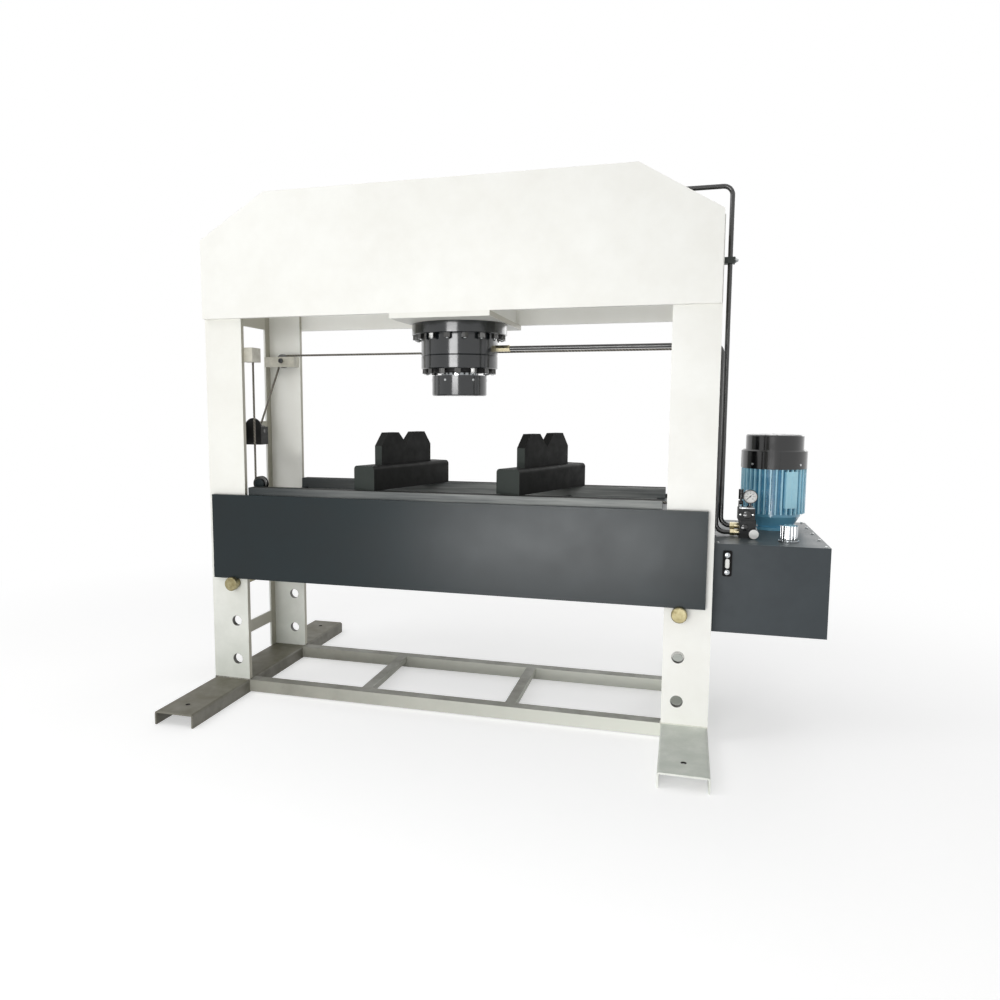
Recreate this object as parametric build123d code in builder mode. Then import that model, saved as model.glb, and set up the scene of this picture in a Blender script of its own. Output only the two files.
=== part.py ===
import os
from math import cos, hypot, radians, sin, sqrt

from build123d import *

os.makedirs("parts", exist_ok=True)

# Workshop hydraulic press with a welded H frame, an adjustable bed and a side power unit.
# +Z is up, X runs along the bed and the operator stands at -Y.
# The origin lies on the floor under the axis of the ram.

# Shared allowances
overrun = 5.0
running_gap = 0.05
rest_gap = 0.3
bolt_gap = 0.2

# Uprights
frame_width = 2450.0
frame_depth = 650.0
upright_width = 200.0
upright_thickness = 25.0
upright_flange = 75.0
flange_thickness = 10.0
upright_head_height = 360.0

# Feet and base ladder
foot_height = 64.0
foot_wall = 8.0
foot_length = 1650.0
foot_corner = 12.0
anchor_radius = 11.0
anchor_inset = 112.0
base_rail_size = 60.0
base_rail_wall = 4.0
cross_bar_width = 50.0
cross_bar_height = 30.0
left_cross_bar_x = -403.0
right_cross_bar_x = 330.0

# Bed pins and their holes
pin_radius = 26.0
pin_clearance = 0.5
pin_edge = 135.0
pin_first_level = 170.0
pin_pitch = 200.0
pin_level_count = 4
pin_holes_below_count = 2
pin_head_radius = 34.0
pin_head_length = 26.0
pin_tail = 20.0
pin_seat_gap = 1.0
pin_chamfer = 4.0

# Side ties between the front and rear uprights
lower_brace_bottom = 206.0
lower_brace_height = 66.0
top_tie_gap = 4.0
top_tie_height = 346.0

# Head
head_end_inset = 5.0
head_plate = 30.0
head_bottom = 1890.0
head_side_height = 378.0
head_height = 586.0
head_crown_width = 1742.0
head_rib_thickness = 20.0
head_rib_spacing = 420.0
head_rib_height = 520.0
mount_plate_width = 476.0
mount_plate_thickness = 24.0
mount_spigot_gap = 0.5

# Cylinder
bore_radius = 130.0
barrel_radius = 165.0
barrel_rise = 455.0
barrel_end = 45.0
body_radius = 190.0
body_height = 99.0
cylinder_flange_radius = 236.0
cylinder_flange = 56.0
cylinder_edge = 3.0
gland_height = 65.0
gland_spigot = 20.0
gland_edge = 4.0
port_radius = 8.0
hex_sides = 6
flange_bolt_pitch_radius = 214.0
flange_bolt_count = 16
gland_bolt_pitch_radius = 168.0
gland_bolt_count = 14
bolt_radius = 9.0
bolt_head_radius = 17.0
bolt_head_height = 22.0
bolt_grip = 18.0
lower_port_height = 36.0
upper_port_x = 100.0

# Ram
rod_radius = 90.0
piston_height = 100.0
piston_top_gap = 10.0
piston_groove = 5.0
piston_groove_width = 12.0
piston_groove_shares = (0.3, 0.7)
nose_radius = 136.0
nose_height = 99.0
nose_gap = 31.0
nose_socket = 40.0
nose_edge = 5.0

# Bed
bed_end_inset = 27.5
bed_plate_height = 425.0
bed_plate_thickness = 25.0
bed_slide_gap = 2.0
bed_rail_end_gap = 20.0
bed_rail_thickness = 70.0
bed_rail_height = 110.0
bed_rail_rise = 37.0
bed_rail_edge = 3.0
bed_rib_thickness = 20.0
bed_rib_height = 360.0
bed_rib_drop = 12.0
bed_rib_inset = 30.0
bed_rib_inner_x = 520.0

# V-blocks
v_bar_length = 615.0
v_bar_width = 128.0
v_bar_height = 118.0
v_bar_edge = 18.0
v_plate_length = 400.0
v_plate_height = 158.0
v_plate_thickness = 44.0
v_plate_shoulder_x = 52.0
v_plate_shoulder_z = 65.0
v_notch_width = 130.0
v_notch_depth = 64.0
left_v_x = -300.0
left_v_y = 10.0
left_v_angle = 19.0
right_v_x = 425.0
right_v_y = 12.0
right_v_angle = 22.0

# Oil tank
tank_width = 476.0
tank_depth = 800.0
tank_bottom = 476.0
tank_height = 386.0
tank_front = -240.0
tank_wall = 6.0
lid_thickness = 8.0
hanger_height = 320.0
hanger_drop = 40.0

# Level gauge on the tank front
sight_x = 60.0
sight_drop = 77.5
sight_width = 38.0
sight_length = 112.0
sight_depth = 12.0
sight_corner = 8.0
sight_window_width = 18.0
sight_window_length = 44.0
sight_window_sink = 4.0

# Filler
filler_x = 322.0
filler_y = 134.0
filler_flange_radius = 44.0
filler_flange = 7.0
filler_neck_radius = 26.0
filler_neck_wall = 3.0
filler_neck_height = 18.0
filler_cap_radius = 37.0
filler_cap_height = 66.0
filler_cap_wall = 4.0
filler_flute_count = 18
filler_flute_radius = 4.0

# Motor, bell housing and pump
motor_x = 292.0
motor_rear_inset = 222.0
bell_foot_radius = 118.0
bell_foot = 14.0
bell_waist_radius = 100.0
bell_height = 80.0
bell_wall = 14.0
motor_radius = 150.0
motor_core_radius = 130.0
motor_height = 218.0
fin_count = 36
fin_thickness = 6.0
fin_root = 4.0
pad_angle = -61.0
pad_width = 62.0
pad_height = 176.0
pad_drop = 10.0
pad_sink = 1.0
pad_depth = 30.0
terminal_width = 120.0
terminal_height = 110.0
terminal_depth = 64.0
terminal_rise = 60.0
cover_radius = 152.0
cover_wall = 3.0
cover_skirt = 91.0
cover_cap_radius = 134.0
cover_cap_height = 72.0
cover_shoulder_edge = 6.0
cover_tab_count = 4
cover_tab_height = 84.0
cover_tab_rise = 3.0
cover_tab_gap = 26.0
grille_slot_count = 12
grille_slot_width = 9.0
grille_slot_length = 70.0
grille_slot_pitch_radius = 78.0
shaft_radius = 19.0
shaft_gap = 0.5
shaft_engage = 60.0
lid_shaft_hole = 45.0
coupling_radius = 60.0
coupling_height = 50.0
coupling_rise = 12.0
fan_radius = 110.0
fan_hub_radius = 36.0
fan_disc = 5.0
fan_blade_height = 46.0
fan_blade_thickness = 4.0
fan_blade_count = 8
fan_rise = 14.0
pump_radius = 62.0
pump_height = 150.0
pump_flange_radius = 80.0
pump_flange = 16.0
suction_radius = 17.0
suction_length = 120.0
strainer_radius = 38.0
strainer_height = 60.0

# Valve block, fittings and gauge on the lid
valve_x = 153.0
valve_y = 240.0
valve_width = 70.0
valve_depth = 100.0
valve_height = 80.0
control_width = 72.0
control_shift = -6.0
control_depth = 90.0
control_height = 53.0
lever_pivot_rise = 22.0
lever_radius = 5.0
lever_length = 62.0
lever_grip_radius = 11.0
lever_grip_length = 46.0
lever_x = 6.0
lever_y = 22.0
lever_hub_radius = 9.0
lever_hub_length = 10.0
lever_ear = 5.0
lever_pin_radius = 4.0
relief_x = 24.0
relief_rise = 24.0
relief_nut_radius = 17.0
relief_nut_length = 14.0
relief_cap_radius = 21.0
relief_cap_length = 24.0
relief_stem_radius = 8.0
gauge_radius = 31.5
gauge_depth = 28.0
gauge_wall = 3.0
gauge_floor = 16.0
gauge_dial = 1.5
gauge_x = 7.0
gauge_y = -28.0
gauge_rise = 56.0
gauge_stem_radius = 7.0
gauge_nut_radius = 13.0
gauge_nut_length = 14.0
needle_rest_angle = 225.0
needle_length = 22.0
needle_tail = 7.0
needle_width = 2.4
needle_thickness = 0.8
needle_hub_radius = 3.0
needle_arbor_radius = 1.2
needle_gap = 0.6

# Pipes
pipe_radius = 11.0
pipe_bend = 40.0
upper_pipe_x = 39.0
upper_pipe_y = 36.0
upper_pipe_rise = 562.0
lower_pipe_x = 16.0
upper_port_rise = 44.0
lower_port_rise = 18.0
fitting_length = 39.0
fitting_nut_radius = 17.0
fitting_nut_length = 20.0
fitting_body_radius = 14.0
port_fitting_length = 66.0
clamp_rise = 220.0
clamp_height = 26.0
clamp_width = 46.0
clamp_reach = 20.0

# Rope lift
rope_radius = 5.5
sheave_pitch_radius = 30.0
sheave_radius = 38.0
sheave_width = 22.0
sheave_gap = 2.0
axle_radius = 8.0
axle_head_radius = 13.0
axle_head = 7.0
left_fall_gap = 10.0
rope_front_gap = 65.0
rope_rear_gap = 42.0
rope_drop = 142.0
head_sheave_inset = 117.0
rope_stub = 24.0
lead_bend_drop = 70.0
bed_pulley_rise = 13.0
fork_width = 50.0
fork_cheek = 8.0
outrigger_thickness = 14.0
outrigger_margin = 30.0
guide_height = 60.0
anchor_width = 69.0
anchor_drop = 208.0
anchor_height = 70.0
anchor_reach = 82.0
bracket_drop = 206.0
bracket_plate = 8.0
bracket_length = 182.0
bracket_top_gap = 2.0
winch_y = 51.0
winch_level = 1330.0
winch_plate_drop = 60.0
winch_plate_height = 110.0
winch_drop = 74.0
winch_rise = 70.0
winch_width = 95.0
winch_cheek = 6.0
winch_depth = 76.0
winch_base = 8.0
drum_core_radius = 19.2
drum_flange_radius = 31.0
drum_flange = 3.0
drum_gap = 1.0
drum_shaft_radius = 10.0
drum_stub_length = 30.0
drum_drive_width = 13.0

# Places worked out from the driving dimensions
half_width = frame_width / 2
half_depth = frame_depth / 2
inner_x = half_width - upright_width
web_back = half_depth - upright_thickness
toe_y = half_depth - upright_flange
head_width = frame_width - 2 * head_end_inset
bed_length = frame_width - 2 * bed_end_inset
foot_x = half_width - upright_width / 2
pin_x = half_width - pin_edge
pin_levels = [pin_first_level + pin_pitch * step for step in range(pin_level_count)]
pin_level = pin_levels[pin_holes_below_count]

head_shoulder = head_bottom + head_side_height
head_top = head_bottom + head_height
upright_top = head_bottom + upright_head_height
top_tie_bottom = head_bottom + top_tie_gap
barrel_top = head_bottom + barrel_rise
upper_pipe_level = head_bottom + upper_pipe_rise
clamp_level = head_bottom + clamp_rise
mount_plate_bottom = head_bottom - mount_plate_thickness
flange_bottom = mount_plate_bottom - cylinder_flange
body_bottom = flange_bottom - body_height
gland_bottom = body_bottom - gland_height
bore_top = barrel_top - barrel_end
piston_top = bore_top - piston_top_gap
piston_bottom = piston_top - piston_height
nose_top = gland_bottom - nose_gap
nose_bottom = nose_top - nose_height
lower_port_z = body_bottom + lower_port_height

bed_bottom = pin_level + pin_radius + rest_gap
bed_plate_top = bed_bottom + bed_plate_height
bed_top = bed_plate_top + bed_rail_rise
bed_plate_inner = half_depth + bed_slide_gap
bed_plate_outer = bed_plate_inner + bed_plate_thickness
bed_rail_inner = bed_plate_inner - bed_rail_thickness
bed_rail_half = inner_x - bed_rail_end_gap
bed_rib_top = bed_plate_top - bed_rib_drop
bed_rib_x = bed_rail_half - bed_rib_inset

tank_left = half_width
tank_right = tank_left + tank_width
tank_rear = tank_front + tank_depth
tank_mid_x = (tank_left + tank_right) / 2
tank_mid_y = (tank_front + tank_rear) / 2
tank_top = tank_bottom + tank_height
lid_top = tank_top + lid_thickness

shaft_x = tank_left + motor_x
shaft_y = tank_rear - motor_rear_inset
bell_top = lid_top + bell_height
motor_top = bell_top + motor_height
cover_shoulder = motor_top + cover_skirt
cover_top = cover_shoulder + cover_cap_height
terminal_bottom = bell_top + terminal_rise
terminal_top = terminal_bottom + terminal_height

block_x = tank_left + valve_x
block_y = tank_front + valve_y
block_left = block_x - valve_width / 2
block_front = block_y - valve_depth / 2
block_top = lid_top + valve_height
control_top = block_top + control_height
upper_port_z = lid_top + upper_port_rise
lower_port_level = lid_top + lower_port_rise
upper_pipe_run_x = half_width + upper_pipe_x
lower_pipe_run_x = half_width + lower_pipe_x

rope_level = head_bottom - rope_drop
anchor_bottom = head_bottom - anchor_drop
bracket_bottom = head_bottom - bracket_drop
head_sheave_x = half_width - head_sheave_inset
left_fall_x = left_fall_gap - inner_x
rope_front_y = rope_front_gap - web_back
rope_rear_y = web_back - rope_rear_gap
groove_radius = rope_radius + rest_gap
axle_hole = axle_radius + rest_gap
sheave_room = sheave_width / 2 + sheave_gap
head_sheave_z = rope_level - sheave_pitch_radius
right_fall_x = head_sheave_x + sheave_pitch_radius
lead_x = -head_sheave_x - sheave_pitch_radius
bed_pulley_z = bed_top + bed_pulley_rise
bed_run_z = bed_pulley_z - sheave_pitch_radius
left_pulley_x = left_fall_x + sheave_pitch_radius
right_pulley_y = rope_rear_y - sheave_pitch_radius
fall_bottom = bed_pulley_z + rope_stub
right_fall_top = head_sheave_z - rope_stub
winch_left = -half_width + flange_thickness
winch_plate_bottom = winch_level - winch_plate_drop
winch_bottom = winch_level - winch_drop
winch_top = winch_level + winch_rise

sides = (("left", -1), ("right", 1))
rows = (("front", -1), ("rear", 1))


def add_box(low, high, mode=Mode.ADD):
    """Add a box between two opposite corners to the open part."""
    size = [b - a for a, b in zip(low, high)]
    centre = [(a + b) / 2 for a, b in zip(low, high)]
    with Locations(tuple(centre)):
        Box(*size, mode=mode)


def turned_face(points, centre=(0, 0, 0)):
    """Return a face of radius and height points that stands on an upright axis at centre."""
    with BuildSketch(Plane(origin=centre, x_dir=(1, 0, 0), z_dir=(0, -1, 0))) as outline:
        with BuildLine():
            Polyline(*points, close=True)
        make_face()
    return outline.sketch


def bent_line(points, bend):
    """Return a line through points with rounded corners."""
    with BuildLine() as path:
        FilletPolyline(*points, radius=bend)
    return path.line


def round_section(line, radius):
    """Return a round section at the start of a line."""
    with BuildSketch(Plane(origin=line @ 0, z_dir=line % 0)) as section:
        Circle(radius)
    return section.sketch


def sheave_section(centre, across):
    """Return half the section of a grooved wheel; across is the direction of its axle."""
    radial = Vector(0, 0, 1)
    with BuildSketch(Plane(origin=centre, x_dir=radial, z_dir=radial.cross(Vector(*across)))) as section:
        with Locations(((axle_hole + sheave_radius) / 2, 0)):
            Rectangle(sheave_radius - axle_hole, sheave_width)
        with Locations((sheave_pitch_radius, 0)):
            Circle(groove_radius, mode=Mode.SUBTRACT)
        with Locations((sheave_pitch_radius + sheave_radius / 2, 0)):
            Rectangle(sheave_radius, 2 * groove_radius, mode=Mode.SUBTRACT)
    return section.sketch


# Uprights: a thick web plate with a flange along its outer edge
for side, s in sides:
    for row, t in rows:
        with BuildPart() as upright:
            with BuildSketch(Plane.XY.offset(foot_height)):
                with BuildLine():
                    Polyline(
                        (s * inner_x, t * half_depth),
                        (s * half_width, t * half_depth),
                        (s * half_width, t * toe_y),
                        (s * (half_width - flange_thickness), t * toe_y),
                        (s * (half_width - flange_thickness), t * web_back),
                        (s * inner_x, t * web_back),
                        close=True,
                    )
                make_face()
            extrude(amount=upright_top - foot_height)
            with BuildSketch(Plane.XZ.offset(-t * half_depth + overrun * (1 - t) / 2)):
                with Locations(*[(s * pin_x, level) for level in pin_levels]):
                    Circle(pin_radius + pin_clearance)
            extrude(amount=upright_thickness + 2 * overrun, both=True, mode=Mode.SUBTRACT)
        upright.part.label = f"{side}_{row}_upright"
        export_step(upright.part, f"parts/{side}_{row}_upright.step")

# Feet: channels lying web up, with an anchor hole near each end
for side, s in sides:
    with BuildPart() as foot:
        with BuildSketch(Plane.XZ) as foot_section:
            with Locations((s * foot_x, foot_height / 2)):
                Rectangle(upright_width, foot_height)
            fillet(foot_section.vertices().group_by(Axis.Y)[-1], foot_corner)
            with Locations((s * foot_x, (foot_height - foot_wall) / 2)):
                Rectangle(upright_width - 2 * foot_wall, foot_height - foot_wall, mode=Mode.SUBTRACT)
        extrude(amount=foot_length / 2, both=True)
        with BuildSketch(Plane.XY.offset(foot_height)):
            with Locations(*[(s * foot_x, t * (foot_length / 2 - anchor_inset)) for _, t in rows]):
                Circle(anchor_radius)
        extrude(amount=-foot_wall - overrun, mode=Mode.SUBTRACT)
    foot.part.label = f"{side}_foot"
    export_step(foot.part, f"parts/{side}_foot.step")

# Base rails: two square tubes between the feet
base_rail_inner = half_depth - base_rail_size
base_rail_bore = base_rail_size - 2 * base_rail_wall
base_rail_y = half_depth - base_rail_size / 2
base_rail_z = foot_height - base_rail_size / 2
with BuildPart() as base_rails:
    with BuildSketch(Plane.YZ):
        with Locations(*[(t * base_rail_y, base_rail_z) for _, t in rows]):
            Rectangle(base_rail_size, base_rail_size)
            Rectangle(base_rail_bore, base_rail_bore, mode=Mode.SUBTRACT)
    extrude(amount=inner_x, both=True)
base_rails.part.label = "base_rails"
export_step(base_rails.part, "parts/base_rails.step")

# Base cross bars between the two rails
cross_bar_z = foot_height - cross_bar_height / 2
with BuildPart() as base_cross_bars:
    with Locations((left_cross_bar_x, 0, cross_bar_z), (right_cross_bar_x, 0, cross_bar_z)):
        Box(cross_bar_width, 2 * base_rail_inner, cross_bar_height)
base_cross_bars.part.label = "base_cross_bars"
export_step(base_cross_bars.part, "parts/base_cross_bars.step")

# Side ties: a low brace and a deep upper plate on each side
tie_x = half_width - flange_thickness / 2
with BuildPart() as side_ties:
    for bottom, height in ((lower_brace_bottom, lower_brace_height), (top_tie_bottom, top_tie_height)):
        with Locations(*[(s * tie_x, 0, bottom + height / 2) for _, s in sides]):
            Box(flange_thickness, 2 * toe_y, height)
side_ties.part.label = "side_ties"
export_step(side_ties.part, "parts/side_ties.step")

# Head plates: one outside the front uprights and one outside the rear ones
for row, start in (("front", half_depth), ("rear", -half_depth - head_plate)):
    with BuildPart() as head_side:
        with BuildSketch(Plane.XZ.offset(start)):
            with BuildLine():
                Polyline(
                    (-head_width / 2, head_bottom),
                    (head_width / 2, head_bottom),
                    (head_width / 2, head_shoulder),
                    (head_crown_width / 2, head_top),
                    (-head_crown_width / 2, head_top),
                    (-head_width / 2, head_shoulder),
                    close=True,
                )
            make_face()
        extrude(amount=head_plate)
    head_side.part.label = f"head_{row}_plate"
    export_step(head_side.part, f"parts/head_{row}_plate.step")

# Head ribs beside the cylinder
with BuildPart() as head_ribs:
    with Locations(*[(s * head_rib_spacing / 2, 0, head_bottom + head_rib_height / 2) for _, s in sides]):
        Box(head_rib_thickness, frame_depth, head_rib_height)
head_ribs.part.label = "head_ribs"
export_step(head_ribs.part, "parts/head_ribs.step")

# Cylinder mount plate under the head
with BuildPart() as cylinder_mount_plate:
    with BuildSketch(Plane.XY.offset(mount_plate_bottom)):
        Rectangle(mount_plate_width, frame_depth + 2 * head_plate)
        Circle(barrel_radius + mount_spigot_gap, mode=Mode.SUBTRACT)
        with PolarLocations(flange_bolt_pitch_radius, flange_bolt_count):
            Circle(bolt_radius + bolt_gap, mode=Mode.SUBTRACT)
    extrude(amount=mount_plate_thickness)
cylinder_mount_plate.part.label = "cylinder_mount_plate"
export_step(cylinder_mount_plate.part, "parts/cylinder_mount_plate.step")

# Side brackets: tank hanger, winch plate and pipe clamp
clamp_x = upper_pipe_run_x
with BuildPart() as side_brackets:
    hanger_top = tank_top - hanger_drop
    add_box(
        (half_width - flange_thickness, -toe_y, hanger_top - hanger_height),
        (half_width, toe_y, hanger_top),
    )
    winch_plate_top = winch_plate_bottom + winch_plate_height
    add_box((-half_width, -toe_y, winch_plate_bottom), (winch_left, toe_y, winch_plate_top))
    with BuildSketch(Plane.YZ.offset(winch_left)):
        with Locations((winch_y, winch_level)):
            Circle(drum_shaft_radius + rest_gap)
    extrude(amount=-flange_thickness, mode=Mode.SUBTRACT)
    add_box(
        (half_width, upper_pipe_y - clamp_width / 2, clamp_level),
        (clamp_x + clamp_reach, upper_pipe_y + clamp_width / 2, clamp_level + clamp_height),
    )
    with BuildSketch(Plane.XY.offset(clamp_level - overrun)):
        with Locations((clamp_x, upper_pipe_y)):
            Circle(pipe_radius + bolt_gap)
    extrude(amount=clamp_height + 2 * overrun, mode=Mode.SUBTRACT)
side_brackets.part.label = "side_brackets"
export_step(side_brackets.part, "parts/side_brackets.step")

# Cylinder barrel: body and mounting flange below, closed tube above
with BuildPart() as cylinder_barrel:
    profile = turned_face(
        (
            (0, bore_top),
            (bore_radius, bore_top),
            (bore_radius, body_bottom),
            (body_radius - cylinder_edge, body_bottom),
            (body_radius, body_bottom + cylinder_edge),
            (body_radius, flange_bottom),
            (cylinder_flange_radius - cylinder_edge, flange_bottom),
            (cylinder_flange_radius, flange_bottom + cylinder_edge),
            (cylinder_flange_radius, mount_plate_bottom - cylinder_edge),
            (cylinder_flange_radius - cylinder_edge, mount_plate_bottom),
            (barrel_radius, mount_plate_bottom),
            (barrel_radius, barrel_top),
            (0, barrel_top),
        )
    )
    revolve(profile, axis=Axis.Z)
    with BuildSketch(Plane.XY.offset(flange_bottom)):
        with PolarLocations(flange_bolt_pitch_radius, flange_bolt_count):
            Circle(bolt_radius + bolt_gap)
    extrude(amount=cylinder_flange, mode=Mode.SUBTRACT)
    with BuildSketch(Plane.XY.offset(body_bottom)):
        with PolarLocations(gland_bolt_pitch_radius, gland_bolt_count):
            Circle(bolt_radius + bolt_gap)
    extrude(amount=bolt_grip + overrun, mode=Mode.SUBTRACT)
    with BuildSketch(Plane.YZ):
        with Locations((0, lower_port_z)):
            Circle(port_radius)
    extrude(amount=body_radius + overrun, mode=Mode.SUBTRACT)
    with BuildSketch(Plane.XY.offset(bore_top)):
        with Locations((upper_port_x, upper_pipe_y)):
            Circle(port_radius)
    extrude(amount=barrel_end, mode=Mode.SUBTRACT)
cylinder_barrel.part.label = "cylinder_barrel"
export_step(cylinder_barrel.part, "parts/cylinder_barrel.step")

# Cylinder gland: guides the rod and closes the barrel below
rod_hole = rod_radius + running_gap
spigot_radius = bore_radius - running_gap
with BuildPart() as cylinder_gland:
    profile = turned_face(
        (
            (rod_hole, gland_bottom),
            (body_radius - gland_edge, gland_bottom),
            (body_radius, gland_bottom + gland_edge),
            (body_radius, body_bottom - cylinder_edge),
            (body_radius - cylinder_edge, body_bottom),
            (spigot_radius, body_bottom),
            (spigot_radius, body_bottom + gland_spigot),
            (rod_hole, body_bottom + gland_spigot),
        )
    )
    revolve(profile, axis=Axis.Z)
    with BuildSketch(Plane.XY.offset(gland_bottom)):
        with PolarLocations(gland_bolt_pitch_radius, gland_bolt_count):
            Circle(bolt_radius + bolt_gap)
    extrude(amount=gland_height, mode=Mode.SUBTRACT)
cylinder_gland.part.label = "cylinder_gland"
export_step(cylinder_gland.part, "parts/cylinder_gland.step")

# Cylinder bolts: a ring under the flange and a ring under the gland
bolt_rings = (
    (flange_bolt_pitch_radius, flange_bolt_count, flange_bottom, cylinder_flange),
    (gland_bolt_pitch_radius, gland_bolt_count, gland_bottom, gland_height),
)
with BuildPart() as cylinder_bolts:
    for circle, count, seat, clamped in bolt_rings:
        with BuildSketch(Plane.XY.offset(seat)):
            with PolarLocations(circle, count):
                RegularPolygon(bolt_head_radius, hex_sides)
        extrude(amount=-bolt_head_height)
        with BuildSketch(Plane.XY.offset(seat)):
            with PolarLocations(circle, count):
                Circle(bolt_radius)
        extrude(amount=clamped + bolt_grip)
cylinder_bolts.part.label = "cylinder_bolts"
export_step(cylinder_bolts.part, "parts/cylinder_bolts.step")

# Piston with two seal grooves
piston_radius = bore_radius - running_gap
groove_levels = [piston_bottom + piston_height * share for share in piston_groove_shares]
with BuildPart() as piston:
    with BuildSketch(Plane.XY.offset(piston_bottom)):
        Circle(piston_radius)
    extrude(amount=piston_height)
    for level in groove_levels:
        with BuildSketch(Plane.XY.offset(level - piston_groove_width / 2)):
            Circle(piston_radius + overrun)
            Circle(piston_radius - piston_groove, mode=Mode.SUBTRACT)
        extrude(amount=piston_groove_width, mode=Mode.SUBTRACT)
piston.part.label = "piston"
export_step(piston.part, "parts/piston.step")

# Piston seals filling the grooves
with BuildPart() as piston_seals:
    for level in groove_levels:
        with BuildSketch(Plane.XY.offset(level - piston_groove_width / 2)):
            Circle(piston_radius)
            Circle(piston_radius - piston_groove, mode=Mode.SUBTRACT)
        extrude(amount=piston_groove_width)
piston_seals.part.label = "piston_seals"
export_step(piston_seals.part, "parts/piston_seals.step")

# Ram rod from the piston into the nose
with BuildPart() as ram_rod:
    with BuildSketch(Plane.XY.offset(nose_top - nose_socket)):
        Circle(rod_radius)
    extrude(amount=piston_bottom - nose_top + nose_socket)
ram_rod.part.label = "ram_rod"
export_step(ram_rod.part, "parts/ram_rod.step")

# Ram nose: the pressing face
with BuildPart() as ram_nose:
    profile = turned_face(
        (
            (0, nose_bottom),
            (nose_radius - nose_edge, nose_bottom),
            (nose_radius, nose_bottom + nose_edge),
            (nose_radius, nose_top),
            (rod_hole, nose_top),
            (rod_hole, nose_top - nose_socket),
            (0, nose_top - nose_socket),
        )
    )
    revolve(profile, axis=Axis.Z)
ram_nose.part.label = "ram_nose"
export_step(ram_nose.part, "parts/ram_nose.step")

# Upper pipe from the top of the cylinder over the head and down to the valve block
with BuildPart() as upper_pipe:
    line = bent_line(
        (
            (upper_port_x, upper_pipe_y, barrel_top),
            (upper_port_x, upper_pipe_y, upper_pipe_level),
            (upper_pipe_run_x, upper_pipe_y, upper_pipe_level),
            (upper_pipe_run_x, upper_pipe_y, upper_port_z),
            (block_left, upper_pipe_y, upper_port_z),
        ),
        pipe_bend,
    )
    sweep(round_section(line, pipe_radius), path=line)
upper_pipe.part.label = "upper_pipe"
export_step(upper_pipe.part, "parts/upper_pipe.step")

# Lower pipe from the cylinder body to the valve block
lower_pipe_start = body_radius + rest_gap
with BuildPart() as lower_pipe:
    line = bent_line(
        (
            (lower_pipe_start, 0, lower_port_z),
            (lower_pipe_run_x, 0, lower_port_z),
            (lower_pipe_run_x, 0, lower_port_level),
            (block_left, 0, lower_port_level),
        ),
        pipe_bend,
    )
    sweep(round_section(line, pipe_radius), path=line)
lower_pipe.part.label = "lower_pipe"
export_step(lower_pipe.part, "parts/lower_pipe.step")

# Pipe fittings: union nuts around the pipe ends
pipe_hole = pipe_radius + bolt_gap
with BuildPart() as pipe_fittings:
    for y, z in ((upper_pipe_y, upper_port_z), (0, lower_port_level)):
        with BuildSketch(Plane.YZ.offset(block_left - fitting_length)):
            with Locations((y, z)):
                RegularPolygon(fitting_nut_radius, hex_sides)
        extrude(amount=fitting_nut_length)
        with BuildSketch(Plane.YZ.offset(block_left - fitting_length + fitting_nut_length)):
            with Locations((y, z)):
                Circle(fitting_body_radius)
        extrude(amount=fitting_length - fitting_nut_length)
        with BuildSketch(Plane.YZ.offset(block_left - fitting_length - overrun)):
            with Locations((y, z)):
                Circle(pipe_hole)
        extrude(amount=fitting_length + 2 * overrun, mode=Mode.SUBTRACT)
    with BuildSketch(Plane.YZ.offset(body_radius)):
        with Locations((0, lower_port_z)):
            RegularPolygon(fitting_nut_radius, hex_sides)
            Circle(pipe_hole, mode=Mode.SUBTRACT)
    extrude(amount=port_fitting_length)
    with BuildSketch(Plane.XY.offset(barrel_top)):
        with Locations((upper_port_x, upper_pipe_y)):
            RegularPolygon(fitting_nut_radius, hex_sides)
            Circle(pipe_hole, mode=Mode.SUBTRACT)
    extrude(amount=fitting_nut_length)
pipe_fittings.part.label = "pipe_fittings"
export_step(pipe_fittings.part, "parts/pipe_fittings.step")

# Oil tank: an open box closed by the lid
with BuildPart() as oil_tank:
    add_box((tank_left, tank_front, tank_bottom), (tank_right, tank_rear, tank_top))
    add_box(
        (tank_left + tank_wall, tank_front + tank_wall, tank_bottom + tank_wall),
        (tank_right - tank_wall, tank_rear - tank_wall, tank_top + overrun),
        Mode.SUBTRACT,
    )
oil_tank.part.label = "oil_tank"
export_step(oil_tank.part, "parts/oil_tank.step")

# Tank lid with openings for the pump shaft and the filler
cap_x = tank_left + filler_x
cap_y = tank_front + filler_y
with BuildPart() as tank_lid:
    with BuildSketch(Plane.XY.offset(tank_top)):
        with Locations((tank_mid_x, tank_mid_y)):
            Rectangle(tank_width, tank_depth)
        with Locations((shaft_x, shaft_y)):
            Circle(lid_shaft_hole, mode=Mode.SUBTRACT)
        with Locations((cap_x, cap_y)):
            Circle(filler_neck_radius - filler_neck_wall, mode=Mode.SUBTRACT)
    extrude(amount=lid_thickness)
tank_lid.part.label = "tank_lid"
export_step(tank_lid.part, "parts/tank_lid.step")

# Level gauge frame on the tank front, with a slot for its window
sight_mid = (tank_left + sight_x, tank_top - sight_drop)
with BuildPart() as sight_gauge:
    with BuildSketch(Plane.XZ.offset(-tank_front)):
        with Locations(sight_mid):
            RectangleRounded(sight_width, sight_length, sight_corner)
            SlotOverall(sight_window_length, sight_window_width, rotation=90, mode=Mode.SUBTRACT)
    extrude(amount=sight_depth)
sight_gauge.part.label = "sight_gauge"
export_step(sight_gauge.part, "parts/sight_gauge.step")

# Window of the level gauge
with BuildPart() as sight_window:
    with BuildSketch(Plane.XZ.offset(-tank_front)):
        with Locations(sight_mid):
            SlotOverall(sight_window_length, sight_window_width, rotation=90)
    extrude(amount=sight_depth - sight_window_sink)
sight_window.part.label = "sight_window"
export_step(sight_window.part, "parts/sight_window.step")

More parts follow.
